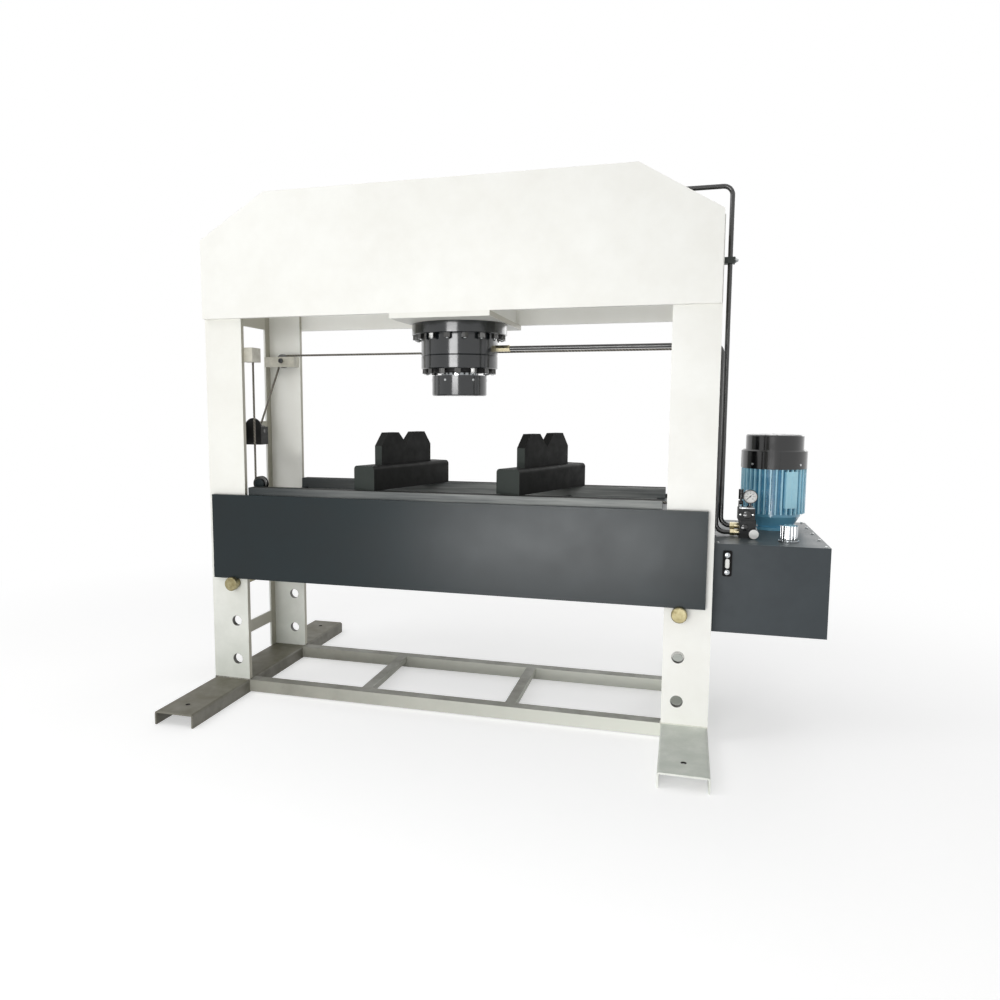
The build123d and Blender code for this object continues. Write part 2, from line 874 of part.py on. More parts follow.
# Filler neck: a flange on the lid with a short tube
with BuildPart() as filler_neck:
    with BuildSketch(Plane.XY.offset(lid_top)):
        with Locations((cap_x, cap_y)):
            Circle(filler_flange_radius)
            Circle(filler_neck_radius - filler_neck_wall, mode=Mode.SUBTRACT)
    extrude(amount=filler_flange)
    with BuildSketch(Plane.XY.offset(lid_top + filler_flange)):
        with Locations((cap_x, cap_y)):
            Circle(filler_neck_radius)
            Circle(filler_neck_radius - filler_neck_wall, mode=Mode.SUBTRACT)
    extrude(amount=filler_neck_height)
filler_neck.part.label = "filler_neck"
export_step(filler_neck.part, "parts/filler_neck.step")

# Filler cap: a fluted cup over the neck
filler_seat = lid_top + filler_flange
filler_cap_bore = filler_neck_radius + rest_gap
with BuildPart() as filler_cap:
    with BuildSketch(Plane.XY.offset(filler_seat)):
        with Locations((cap_x, cap_y)):
            Circle(filler_cap_radius)
            with PolarLocations(filler_cap_radius + filler_flute_radius / 2, filler_flute_count):
                Circle(filler_flute_radius, mode=Mode.SUBTRACT)
    extrude(amount=filler_cap_height)
    with BuildSketch(Plane.XY.offset(filler_seat)):
        with Locations((cap_x, cap_y)):
            Circle(filler_cap_bore)
    extrude(amount=filler_neck_height + filler_cap_wall, mode=Mode.SUBTRACT)
filler_cap.part.label = "filler_cap"
export_step(filler_cap.part, "parts/filler_cap.step")

motor_centre = (shaft_x, shaft_y, 0)
motor_axis = Axis(motor_centre, (0, 0, 1))

# Motor bell between the lid and the motor
bell_bore = bell_waist_radius - bell_wall
with BuildPart() as motor_bell:
    profile = turned_face(
        (
            (bell_bore, lid_top),
            (bell_foot_radius, lid_top),
            (bell_foot_radius, lid_top + bell_foot),
            (bell_waist_radius, lid_top + bell_foot),
            (motor_core_radius, bell_top - bell_foot),
            (motor_core_radius, bell_top),
            (bell_bore, bell_top),
        ),
        motor_centre,
    )
    revolve(profile, axis=motor_axis)
motor_bell.part.label = "motor_bell"
export_step(motor_bell.part, "parts/motor_bell.step")

# Motor body with cooling fins, a plain pad and a terminal box at the back
fin_length = motor_radius - motor_core_radius + fin_root
pad_reach = motor_radius - pad_sink
pad_radius = pad_reach - pad_depth / 2
pad_place = (
    shaft_x + pad_radius * cos(radians(pad_angle)),
    shaft_y + pad_radius * sin(radians(pad_angle)),
    motor_top - pad_drop - pad_height / 2,
)
with BuildPart() as motor_body:
    with BuildSketch(Plane.XY.offset(bell_top)):
        with Locations((shaft_x, shaft_y)):
            Circle(motor_core_radius)
            with PolarLocations(motor_radius - fin_length / 2, fin_count):
                Rectangle(fin_length, fin_thickness)
    extrude(amount=motor_height)
    with Locations(Location(pad_place, (0, 0, pad_angle))):
        Box(pad_depth, pad_width, pad_height)
    add_box(
        (shaft_x - terminal_width / 2, shaft_y + motor_core_radius - fin_root, terminal_bottom),
        (shaft_x + terminal_width / 2, shaft_y + motor_radius + terminal_depth, terminal_top),
    )
    with BuildSketch(Plane.XY.offset(bell_top)):
        with Locations((shaft_x, shaft_y)):
            Circle(shaft_radius + shaft_gap)
    extrude(amount=motor_height, mode=Mode.SUBTRACT)
motor_body.part.label = "motor_body"
export_step(motor_body.part, "parts/motor_body.step")

# Fan cover: a stepped cup with raised tabs around its skirt and a slotted top
skirt_radius = cover_radius - cover_tab_rise
with BuildPart() as fan_cover:
    profile = turned_face(
        (
            (skirt_radius - cover_wall, motor_top),
            (skirt_radius, motor_top),
            (skirt_radius, cover_shoulder - cover_shoulder_edge),
            (skirt_radius - cover_shoulder_edge, cover_shoulder),
            (cover_cap_radius, cover_shoulder),
            (cover_cap_radius, cover_top - cover_shoulder_edge),
            (cover_cap_radius - cover_shoulder_edge, cover_top),
            (0, cover_top),
            (0, cover_top - cover_wall),
            (cover_cap_radius - cover_shoulder_edge, cover_top - cover_wall),
            (cover_cap_radius - cover_wall, cover_top - cover_shoulder_edge),
            (cover_cap_radius - cover_wall, cover_shoulder - cover_wall),
            (skirt_radius - cover_shoulder_edge, cover_shoulder - cover_wall),
            (skirt_radius - cover_wall, cover_shoulder - cover_shoulder_edge),
        ),
        motor_centre,
    )
    revolve(profile, axis=motor_axis)
    with BuildSketch(Plane.XY.offset(motor_top)):
        with Locations((shaft_x, shaft_y)):
            Circle(cover_radius)
            Circle(skirt_radius - cover_wall / 2, mode=Mode.SUBTRACT)
            with PolarLocations(cover_radius, cover_tab_count):
                Rectangle(cover_radius / 2, cover_tab_gap, mode=Mode.SUBTRACT)
    extrude(amount=cover_tab_height)
    with BuildSketch(Plane.XY.offset(cover_top - cover_wall - overrun)):
        with Locations((shaft_x, shaft_y)):
            with PolarLocations(grille_slot_pitch_radius, grille_slot_count):
                SlotOverall(grille_slot_length, grille_slot_width)
    extrude(amount=cover_wall + 2 * overrun, mode=Mode.SUBTRACT)
fan_cover.part.label = "fan_cover"
export_step(fan_cover.part, "parts/fan_cover.step")

# Rotor: shaft with coupling below and cooling fan above
shaft_bottom = tank_top - shaft_engage
coupling_bottom = lid_top + coupling_rise
fan_level = motor_top + fan_rise
shaft_end = fan_level + fan_blade_height
with BuildPart() as motor_rotor:
    profile = turned_face(
        (
            (0, shaft_bottom),
            (shaft_radius, shaft_bottom),
            (shaft_radius, coupling_bottom),
            (coupling_radius, coupling_bottom),
            (coupling_radius, coupling_bottom + coupling_height),
            (shaft_radius, coupling_bottom + coupling_height),
            (shaft_radius, fan_level),
            (fan_radius, fan_level),
            (fan_radius, fan_level + fan_disc),
            (fan_hub_radius, fan_level + fan_disc),
            (fan_hub_radius, shaft_end),
            (0, shaft_end),
        ),
        motor_centre,
    )
    revolve(profile, axis=motor_axis)
    with BuildSketch(Plane.XY.offset(fan_level + fan_disc)):
        with Locations((shaft_x, shaft_y)):
            with PolarLocations((fan_radius + fan_hub_radius) / 2 - fan_disc, fan_blade_count):
                Rectangle(fan_radius - fan_hub_radius, fan_blade_thickness)
    extrude(amount=fan_blade_height - fan_disc)
motor_rotor.part.label = "motor_rotor"
export_step(motor_rotor.part, "parts/motor_rotor.step")

# Pump under the lid, with suction pipe and strainer
pump_bore = shaft_radius + shaft_gap
pump_bottom = tank_top - pump_height
suction_bottom = pump_bottom - suction_length
with BuildPart() as pump:
    profile = turned_face(
        (
            (0, suction_bottom - strainer_height),
            (strainer_radius, suction_bottom - strainer_height),
            (strainer_radius, suction_bottom),
            (suction_radius, suction_bottom),
            (suction_radius, pump_bottom),
            (pump_radius, pump_bottom),
            (pump_radius, tank_top - pump_flange),
            (pump_flange_radius, tank_top - pump_flange),
            (pump_flange_radius, tank_top),
            (pump_bore, tank_top),
            (pump_bore, shaft_bottom - overrun),
            (0, shaft_bottom - overrun),
        ),
        motor_centre,
    )
    revolve(profile, axis=motor_axis)
pump.part.label = "pump"
export_step(pump.part, "parts/pump.step")

# Valve block with the control valve on top, lever ears and the relief stem in front
control_x = block_x + control_shift
ear_x = block_left + lever_x
ear_y = block_y + lever_y
pivot_z = control_top + lever_pivot_rise
ear_inner = lever_hub_length / 2 + rest_gap
relief_centre = (block_x + relief_x, lid_top + relief_rise)
with BuildPart() as valve_block:
    add_box(
        (block_left, block_front, lid_top),
        (block_left + valve_width, block_front + valve_depth, block_top),
    )
    add_box(
        (control_x - control_width / 2, block_y - control_depth / 2, block_top),
        (control_x + control_width / 2, block_y + control_depth / 2, control_top),
    )
    for s in (-1, 1):
        with BuildSketch(Plane.YZ.offset(ear_x + s * (ear_inner + lever_ear / 2))):
            with Locations((ear_y, (control_top + pivot_z) / 2)):
                Rectangle(2 * lever_hub_radius, lever_pivot_rise)
            with Locations((ear_y, pivot_z)):
                Circle(lever_hub_radius)
        extrude(amount=lever_ear / 2, both=True)
    with BuildSketch(Plane.YZ.offset(ear_x)):
        with Locations((ear_y, pivot_z)):
            Circle(lever_pin_radius)
    extrude(amount=ear_inner + lever_ear, both=True)
    with BuildSketch(Plane.XZ.offset(-block_front)):
        with Locations(relief_centre):
            RegularPolygon(relief_nut_radius, hex_sides)
    extrude(amount=relief_nut_length)
    with BuildSketch(Plane.XZ.offset(-block_front + relief_nut_length)):
        with Locations(relief_centre):
            Circle(relief_stem_radius)
    extrude(amount=relief_cap_length / 2)
valve_block.part.label = "valve_block"
export_step(valve_block.part, "parts/valve_block.step")

# Valve lever: hub on the pin, stem and grip
lever_hole = lever_pin_radius + rest_gap
with BuildPart() as valve_lever:
    with BuildSketch(Plane.YZ.offset(ear_x)):
        with Locations((ear_y, pivot_z)):
            Circle(lever_hub_radius)
    extrude(amount=lever_hub_length / 2, both=True)
    with BuildSketch(Plane.XY.offset(pivot_z)):
        with Locations((ear_x, ear_y)):
            Circle(lever_radius)
    extrude(amount=lever_length)
    with BuildSketch(Plane.XY.offset(pivot_z + lever_length)):
        with Locations((ear_x, ear_y)):
            Circle(lever_grip_radius)
    extrude(amount=-lever_grip_length)
    with BuildSketch(Plane.YZ.offset(ear_x)):
        with Locations((ear_y, pivot_z)):
            Circle(lever_hole)
    extrude(amount=lever_hub_length, both=True, mode=Mode.SUBTRACT)
valve_lever.part.label = "valve_lever"
export_step(valve_lever.part, "parts/valve_lever.step")

# Relief cap: the pressure setting knob on the stem
relief_seat = -block_front + relief_nut_length + rest_gap
with BuildPart() as relief_cap:
    with BuildSketch(Plane.XZ.offset(relief_seat)):
        with Locations(relief_centre):
            Circle(relief_cap_radius)
    extrude(amount=relief_cap_length)
    with BuildSketch(Plane.XZ.offset(relief_seat - overrun)):
        with Locations(relief_centre):
            Circle(relief_stem_radius + rest_gap)
    extrude(amount=overrun + relief_cap_length / 2 + rest_gap, mode=Mode.SUBTRACT)
relief_cap.part.label = "relief_cap"
export_step(relief_cap.part, "parts/relief_cap.step")

# Pressure gauge case: a cup on a short stem, facing the operator
gauge_mid = (block_x + gauge_x, control_top + gauge_rise)
gauge_mid_y = block_y + gauge_y
gauge_back = gauge_mid_y + gauge_depth / 2
gauge_seat = gauge_back - gauge_floor
with BuildPart() as gauge_case:
    with BuildSketch(Plane.XY.offset(control_top)):
        with Locations((gauge_mid[0], gauge_mid_y)):
            RegularPolygon(gauge_nut_radius, hex_sides)
    extrude(amount=gauge_nut_length)
    with BuildSketch(Plane.XY.offset(control_top + gauge_nut_length)):
        with Locations((gauge_mid[0], gauge_mid_y)):
            Circle(gauge_stem_radius)
    extrude(amount=gauge_rise - gauge_nut_length - gauge_radius + gauge_wall / 2)
    with BuildSketch(Plane.XZ.offset(-gauge_back)):
        with Locations(gauge_mid):
            Circle(gauge_radius)
    extrude(amount=gauge_depth)
    with BuildSketch(Plane.XZ.offset(-gauge_seat)):
        with Locations(gauge_mid):
            Circle(gauge_radius - gauge_wall)
    extrude(amount=gauge_depth, mode=Mode.SUBTRACT)
gauge_case.part.label = "gauge_case"
export_step(gauge_case.part, "parts/gauge_case.step")

# Gauge dial with its arbor
with BuildPart() as gauge_face:
    with BuildSketch(Plane.XZ.offset(-gauge_seat)):
        with Locations(gauge_mid):
            Circle(gauge_radius - gauge_wall - running_gap)
    extrude(amount=gauge_dial)
    with BuildSketch(Plane.XZ.offset(-gauge_seat + gauge_dial)):
        with Locations(gauge_mid):
            Circle(needle_arbor_radius)
    extrude(amount=needle_gap)
gauge_face.part.label = "gauge_dial"
export_step(gauge_face.part, "parts/gauge_dial.step")

# Gauge needle, at rest down to the left
needle_plane = Plane.XZ.offset(-gauge_seat + gauge_dial + needle_gap + rest_gap)
with BuildPart() as gauge_needle:
    with BuildSketch(needle_plane):
        with Locations(Location((*gauge_mid, 0), (0, 0, needle_rest_angle))):
            with Locations(((needle_length - needle_tail) / 2, 0)):
                Rectangle(needle_length + needle_tail, needle_width)
            Circle(needle_hub_radius)
    extrude(amount=needle_thickness)
gauge_needle.part.label = "gauge_needle"
export_step(gauge_needle.part, "parts/gauge_needle.step")

# Sheave brackets behind the rear uprights' webs, and the rope anchor in front
bracket_back = web_back
bracket_front = rope_rear_y - sheave_room - bracket_plate
bracket_top = rope_level - groove_radius - bracket_top_gap
plate_back = bracket_front + bracket_plate
with BuildPart() as sheave_brackets:
    for s in (-1, 1):
        outer = s * (half_width - flange_thickness)
        inner = outer - s * bracket_length
        edge = inner + s * bracket_plate
        low_x, high_x = sorted((outer, inner))
        add_box((low_x, bracket_front, bracket_bottom), (high_x, plate_back, bracket_top))
        low_x, high_x = sorted((inner, edge))
        add_box((low_x, bracket_front, bracket_bottom), (high_x, bracket_back, bracket_top))
        with BuildSketch(Plane.XZ.offset(-bracket_back)):
            with Locations((s * head_sheave_x, head_sheave_z)):
                Circle(axle_radius)
        extrude(amount=bracket_back - bracket_front)
        with BuildSketch(Plane.XZ.offset(-bracket_front)):
            with Locations((s * head_sheave_x, head_sheave_z)):
                Circle(axle_head_radius)
        extrude(amount=axle_head)
    anchor_left = left_fall_x - anchor_width / 2
    add_box(
        (anchor_left, -web_back, anchor_bottom),
        (anchor_left + anchor_width, -web_back + anchor_reach, anchor_bottom + anchor_height),
    )
sheave_brackets.part.label = "sheave_brackets"
export_step(sheave_brackets.part, "parts/sheave_brackets.step")

# Sheaves on the head brackets and pulleys on the bed
wheels = (
    ("left_sheave", (-head_sheave_x, rope_rear_y, head_sheave_z), (0, 1, 0)),
    ("right_sheave", (head_sheave_x, rope_rear_y, head_sheave_z), (0, 1, 0)),
    ("bed_left_pulley", (left_pulley_x, rope_front_y, bed_pulley_z), (0, 1, 0)),
    ("bed_right_pulley", (right_fall_x, right_pulley_y, bed_pulley_z), (1, 0, 0)),
)
for name, centre, across in wheels:
    with BuildPart() as wheel:
        revolve(sheave_section(centre, across), axis=Axis(centre, across))
    wheel.part.label = name
    export_step(wheel.part, f"parts/{name}.step")

# Winch housing: base plate, inner cheek and a round-topped guard in front
winch_front = winch_y - winch_depth / 2
winch_back = winch_y + winch_depth / 2
winch_right = winch_left + winch_width
guard_mid = winch_left + winch_width / 2
guard_shoulder = winch_top - winch_width / 2
with BuildPart() as winch_housing:
    add_box((winch_left, winch_front, winch_bottom), (winch_left + winch_base, winch_back, guard_shoulder))
    cheek_left = winch_right - winch_cheek
    add_box((cheek_left, winch_front, winch_bottom), (winch_right, winch_back, guard_shoulder))
    with BuildSketch(Plane.XZ.offset(-winch_front)):
        with Locations((guard_mid, (winch_bottom + guard_shoulder) / 2)):
            Rectangle(winch_width, guard_shoulder - winch_bottom)
        with Locations((guard_mid, guard_shoulder)):
            Circle(winch_width / 2)
    extrude(amount=-winch_cheek)
    with BuildSketch(Plane.YZ.offset(winch_left)):
        with Locations((winch_y, winch_level)):
            Circle(drum_shaft_radius + rest_gap)
    extrude(amount=winch_width, mode=Mode.SUBTRACT)
winch_housing.part.label = "winch_housing"
export_step(winch_housing.part, "parts/winch_housing.step")

# Winch drum with its shaft and a square drive for a crank
drum_left = winch_left + winch_base + drum_gap
drum_right = winch_right - winch_cheek - drum_gap
drum_steps = (
    (drum_core_radius, drum_left, drum_right - drum_left),
    (drum_flange_radius, drum_left, drum_flange),
    (drum_flange_radius, drum_right - drum_flange, drum_flange),
    (drum_shaft_radius, -half_width, half_width + winch_right),
)
with BuildPart() as winch_drum:
    for radius, start, length in drum_steps:
        with BuildSketch(Plane.YZ.offset(start)):
            with Locations((winch_y, winch_level)):
                Circle(radius)
        extrude(amount=length)
    with BuildSketch(Plane.YZ.offset(-half_width)):
        with Locations((winch_y, winch_level)):
            Rectangle(drum_drive_width, drum_drive_width)
    extrude(amount=-drum_stub_length)
winch_drum.part.label = "winch_drum"
export_step(winch_drum.part, "parts/winch_drum.step")

# The lead is a tangent from below the left sheave to the front of the drum
drum_pitch = drum_core_radius + groove_radius
lead_top = rope_level - lead_bend_drop
slope_y = winch_y - rope_rear_y
slope_z = winch_level - lead_top
slope = hypot(slope_y, slope_z)
lead_length = sqrt(slope**2 - drum_pitch**2)
lead_end_y = rope_rear_y + lead_length * (slope_y * lead_length + slope_z * drum_pitch) / slope**2
lead_end_z = lead_top + lead_length * (slope_z * lead_length - slope_y * drum_pitch) / slope**2

# Fixed rope run: over the right sheave, across behind the cylinder, over the left sheave to the drum
with BuildPart() as rope_run:
    line = bent_line(
        (
            (right_fall_x, rope_rear_y, right_fall_top),
            (right_fall_x, rope_rear_y, rope_level),
            (lead_x, rope_rear_y, rope_level),
            (lead_x, rope_rear_y, lead_top),
            (lead_x, lead_end_y, lead_end_z),
        ),
        sheave_pitch_radius,
    )
    sweep(round_section(line, rope_radius), path=line)
rope_run.part.label = "rope_run"
export_step(rope_run.part, "parts/rope_run.step")

# Rope falls between the head and the bed
falls = (
    ("left_fall", left_fall_x, rope_front_y, anchor_bottom),
    ("right_fall", right_fall_x, rope_rear_y, right_fall_top),
)
for name, x, y, top in falls:
    with BuildPart() as fall:
        with BuildSketch(Plane.XY.offset(fall_bottom)):
            with Locations((x, y)):
                Circle(rope_radius)
        extrude(amount=top - fall_bottom)
    fall.part.label = name
    export_step(fall.part, f"parts/{name}.step")

# Bed rope: under the left pulley, along the front rail, around the guide and under the right pulley
with BuildPart() as bed_rope:
    line = bent_line(
        (
            (left_fall_x, rope_front_y, fall_bottom),
            (left_fall_x, rope_front_y, bed_run_z),
            (right_fall_x, rope_front_y, bed_run_z),
            (right_fall_x, rope_rear_y, bed_run_z),
            (right_fall_x, rope_rear_y, fall_bottom),
        ),
        sheave_pitch_radius,
    )
    sweep(round_section(line, rope_radius), path=line)
bed_rope.part.label = "bed_rope"
export_step(bed_rope.part, "parts/bed_rope.step")

# Bed plates outside the front and rear uprights
for row, t in rows:
    near, far = sorted((t * bed_plate_inner, t * bed_plate_outer))
    with BuildPart() as bed_plate:
        add_box((-bed_length / 2, near, bed_bottom), (bed_length / 2, far, bed_plate_top))
    bed_plate.part.label = f"bed_{row}_plate"
    export_step(bed_plate.part, f"parts/bed_{row}_plate.step")

# Bed rails: the two bars that carry the work
bed_rail_bottom = bed_top - bed_rail_height
with BuildPart() as bed_rails:
    for _, t in rows:
        near, far = sorted((t * bed_rail_inner, t * bed_plate_inner))
        add_box((-bed_rail_half, near, bed_rail_bottom), (bed_rail_half, far, bed_top))
    chamfer(bed_rails.edges().filter_by(Axis.X).group_by(Axis.Z)[-1], bed_rail_edge)
bed_rails.part.label = "bed_rails"
export_step(bed_rails.part, "parts/bed_rails.step")

# Bed ribs, with the pulley forks, the rope guide and the arm that carries the right pulley
rib_bottom = bed_rib_top - bed_rib_height
guide_x = right_fall_x - sheave_pitch_radius
guide_y = rope_front_y + sheave_pitch_radius
arm_bottom = bed_rib_top - outrigger_thickness
fork_shoulder = bed_pulley_z
with BuildPart() as bed_ribs:
    for x in (-bed_rib_x, -bed_rib_inner_x, bed_rib_inner_x, bed_rib_x):
        with BuildSketch(Plane.YZ.offset(x)):
            with BuildLine():
                Polyline(
                    (-bed_plate_inner, rib_bottom),
                    (bed_plate_inner, rib_bottom),
                    (bed_plate_inner, bed_rail_bottom),
                    (bed_rail_inner, bed_rail_bottom),
                    (bed_rail_inner, bed_rib_top),
                    (-bed_rail_inner, bed_rib_top),
                    (-bed_rail_inner, bed_rail_bottom),
                    (-bed_plate_inner, bed_rail_bottom),
                    close=True,
                )
            make_face()
        extrude(amount=bed_rib_thickness / 2, both=True)
    add_box(
        (bed_rib_x, guide_y - outrigger_margin, arm_bottom),
        (right_fall_x + outrigger_margin, bed_rail_inner, bed_rib_top),
    )
    with BuildSketch(Plane.XY.offset(arm_bottom)):
        with Locations((guide_x, guide_y)):
            Circle(sheave_pitch_radius - groove_radius)
    extrude(amount=guide_height)
    for centre, level, across in (
        ((left_pulley_x, rope_front_y), bed_rib_top, Plane.XZ),
        ((right_fall_x, right_pulley_y), bed_rib_top, Plane.YZ),
    ):
        fork = Plane(origin=(*centre, level), x_dir=across.x_dir, z_dir=across.z_dir)
        for start in (sheave_room, -sheave_room - fork_cheek):
            with BuildSketch(fork.offset(start)):
                with Locations((0, (fork_shoulder - level) / 2)):
                    Rectangle(fork_width, fork_shoulder - level)
                with Locations((0, fork_shoulder - level)):
                    Circle(fork_width / 2)
            extrude(amount=fork_cheek)
        with BuildSketch(fork):
            with Locations((0, bed_pulley_z - level)):
                Circle(axle_radius)
        extrude(amount=sheave_room + fork_cheek, both=True)
bed_ribs.part.label = "bed_ribs"
export_step(bed_ribs.part, "parts/bed_ribs.step")

# V-blocks lying on the bed: a bar with a notched plate along its top
v_blocks = (
    ("left_v_block", left_v_x, left_v_y, left_v_angle),
    ("right_v_block", right_v_x, right_v_y, right_v_angle),
)
for name, x, y, turn in v_blocks:
    along = Vector(sin(radians(turn)), cos(radians(turn)), 0)
    with BuildPart() as v_block:
        with BuildSketch(Plane(origin=(x, y, bed_top), x_dir=along, z_dir=(0, 0, 1))):
            Rectangle(v_bar_length, v_bar_width)
        extrude(amount=v_bar_height)
        fillet(v_block.edges().filter_by(Axis((x, y, bed_top), along)).group_by(Axis.Z)[-1], v_bar_edge)
        across = along.cross(Vector(0, 0, 1))
        plate = Plane(origin=(x, y, bed_top + v_bar_height), x_dir=along, z_dir=across)
        with BuildSketch(plate):
            with BuildLine():
                Polyline(
                    (-v_plate_length / 2, 0),
                    (v_plate_length / 2, 0),
                    (v_plate_length / 2, v_plate_height - v_plate_shoulder_z),
                    (v_plate_length / 2 - v_plate_shoulder_x, v_plate_height),
                    (v_notch_width / 2, v_plate_height),
                    (0, v_plate_height - v_notch_depth),
                    (-v_notch_width / 2, v_plate_height),
                    (-v_plate_length / 2 + v_plate_shoulder_x, v_plate_height),
                    (-v_plate_length / 2, v_plate_height - v_plate_shoulder_z),
                    close=True,
                )
            make_face()
        extrude(amount=v_plate_thickness / 2, both=True)
    v_block.part.label = name
    export_step(v_block.part, f"parts/{name}.step")

# Bed pins through the uprights
pin_seat = bed_plate_outer + pin_seat_gap
for side, s in sides:
    with BuildPart() as pin:
        with BuildSketch(Plane.XZ.offset(pin_seat)):
            with Locations((s * pin_x, pin_level)):
                Circle(pin_radius)
        extrude(amount=-pin_seat - bed_plate_outer - pin_tail)
        with BuildSketch(Plane.XZ.offset(pin_seat)):
            with Locations((s * pin_x, pin_level)):
                Circle(pin_head_radius)
        extrude(amount=pin_head_length)
        chamfer(pin.edges().filter_by(GeomType.CIRCLE).group_by(Axis.Y)[-1], pin_chamfer)
        chamfer(pin.edges().filter_by(GeomType.CIRCLE).group_by(Axis.Y)[0], pin_chamfer)
    pin.part.label = f"{side}_pin"
    export_step(pin.part, f"parts/{side}_pin.step")
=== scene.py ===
"""Looks of a workshop hydraulic press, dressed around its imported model."""

import logging
import math
from dataclasses import dataclass
from enum import Enum
from functools import cache
from typing import Any, Iterable, Optional, Sequence

import bmesh
import bpy
from mathutils import Matrix, Vector

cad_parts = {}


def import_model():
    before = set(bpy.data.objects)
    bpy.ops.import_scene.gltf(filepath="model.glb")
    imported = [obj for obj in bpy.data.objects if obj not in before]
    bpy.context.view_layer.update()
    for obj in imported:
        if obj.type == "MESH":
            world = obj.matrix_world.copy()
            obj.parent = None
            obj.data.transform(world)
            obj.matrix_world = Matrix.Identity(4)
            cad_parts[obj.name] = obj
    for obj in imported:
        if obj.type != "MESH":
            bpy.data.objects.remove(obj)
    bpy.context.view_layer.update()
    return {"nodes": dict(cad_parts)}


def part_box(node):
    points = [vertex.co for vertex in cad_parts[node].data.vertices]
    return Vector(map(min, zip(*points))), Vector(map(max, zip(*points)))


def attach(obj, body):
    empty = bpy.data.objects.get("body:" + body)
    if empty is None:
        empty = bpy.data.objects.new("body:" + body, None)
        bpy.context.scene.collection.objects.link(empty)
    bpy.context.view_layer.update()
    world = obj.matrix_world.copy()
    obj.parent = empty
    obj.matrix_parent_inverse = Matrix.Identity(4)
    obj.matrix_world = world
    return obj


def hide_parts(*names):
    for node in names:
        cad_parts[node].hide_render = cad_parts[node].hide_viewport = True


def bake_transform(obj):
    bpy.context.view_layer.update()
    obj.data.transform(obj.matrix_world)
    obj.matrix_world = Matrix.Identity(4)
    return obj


log = logging.getLogger("press")
Point = tuple[float, float, float]
Socket = bpy.types.NodeSocket
Outline = Sequence[tuple[float, float]]
# Radius, height, number of sides and width of the rims' bevel
Drum = tuple[float, float, int, float]

MM = 0.001
FRAME_BODY = "frame"
NONE: Point = (0.0, 0.0, 0.0)
RIGHT: Point = (1.0, 0.0, 0.0)
BACK: Point = (0.0, 1.0, 0.0)
FRONT: Point = (0.0, -1.0, 0.0)
UP: Point = (0.0, 0.0, 1.0)
DOWN: Point = (0.0, 0.0, -1.0)

# Noise of broad mottling and of fine grit, and the parts of its range that are used
BROAD_NOISE = {"Detail": 6.0, "Roughness": 0.62}
FINE_NOISE = {"Detail": 3.0, "Roughness": 0.55}
MOTTLE_RANGE = {"From Min": 0.35, "From Max": 0.68, "To Min": 0.0}
PATCH_RANGE = {"From Min": 0.3, "From Max": 0.7}
# Soil lies on faces that look up; painted shade thickens from one metre down to the floor
SOIL_ON_TOP = {"From Min": 0.6, "From Max": 0.95, "To Min": 0.0, "To Max": 0.85}
SHADE_BELOW = {"From Min": 1.0, "From Max": 0.1, "To Min": 0.0, "To Max": 0.75}
SOIL_AND_SHADE_PATCHES = {**PATCH_RANGE, "To Min": 0.55, "To Max": 1.0}
# Width of one band of a wave texture at a scale of one, along an axis and on the diagonal
AXIS_BAND = 0.314
DIAGONAL_BAND = 0.628
# Lay of a rope's strands: about one strand every 16 mm along the rope, with painted shade in between
STRAND_PITCH = 16.0 * MM
STRAND_GAP_SHADE = "#1E1F1E"
# Tool marks of turning, drawn 3 mm apart so that they show, and how much they waver
TOOL_MARK = 3.0 * MM
TOOL_WAVER = 0.3
# Scratches run along X, so the grain is stretched that way
SCRATCH_STRETCH: Point = (0.04, 1.0, 1.0)
COAT_ROUGHNESS = 0.12
# From this share of metal on, a finish keeps the default IOR
METAL_FROM = 0.5
BUMP_STRENGTH = 0.5
# How squarely a face looks along an axis for a tint: full at the first, none at the second
FACE_ON = (0.98, 0.9)
# A weld bead's blunt start, the dips between its ripples and a strand's radius, as shares of the whole radius
BEAD_START = 0.6
BEAD_DIP = 0.8
STRAND_SHARE = 0.36
# Sides of a bead or a strand, and a strand's steps in one turn round the rope
ROUND_SIDES = 8
TURN_STEPS = 12
WHITE_LIGHT = (1.0, 1.0, 1.0, 1.0)


def linear(code: str) -> tuple[float, float, float, float]:
    """Turn an sRGB hex colour into linear light.

    Args:
        code: colour such as "#C9CCC4".

    Returns:
        Red, green, blue and alpha in linear light.
    """
    parts = [int(code[i:i + 2], 16) / 255.0 for i in (1, 3, 5)]
    r, g, b = (c / 12.92 if c <= 0.04045 else ((c + 0.055) / 1.055) ** 2.4 for c in parts)
    return r, g, b, 1.0


def add_node(tree: bpy.types.NodeTree, kind: str, settings: Optional[dict[Any, Any]] = None,
             links: Optional[dict[Any, Socket]] = None) -> bpy.types.Node:
    """Add a node with its settings and links.

    Args:
        tree: node tree that gets the node.
        kind: the node's type name.
        settings: node attributes, or input sockets by name or index, with their values.
        links: input sockets, by name or index, with the outputs that feed them.

    Returns:
        The new node.
    """
    node = tree.nodes.new(kind)
    for key, value in (settings or {}).items():
        if isinstance(key, str) and hasattr(node, key):
            setattr(node, key, value)
        else:
            node.inputs[key].default_value = value
    for key, source in (links or {}).items():
        tree.links.new(source, node.inputs[key])
    return node


def level_axis(degrees: float) -> Point:
    """Give a level direction.

    Args:
        degrees: its turn from the back towards the right.

    Returns:
        The direction.
    """
    return math.sin(math.radians(degrees)), math.cos(math.radians(degrees)), 0.0


def around(count: int, shift: float = 0.0) -> list[Vector]:
    """Spread level directions evenly round a full turn.

    Args:
        count: number of directions.
        shift: where the first one lies, in steps from the right.

    Returns:
        The directions.
    """
    angles = (math.tau * (index + shift) / count for index in range(count))
    return [Vector((math.cos(angle), math.sin(angle), 0.0)) for angle in angles]


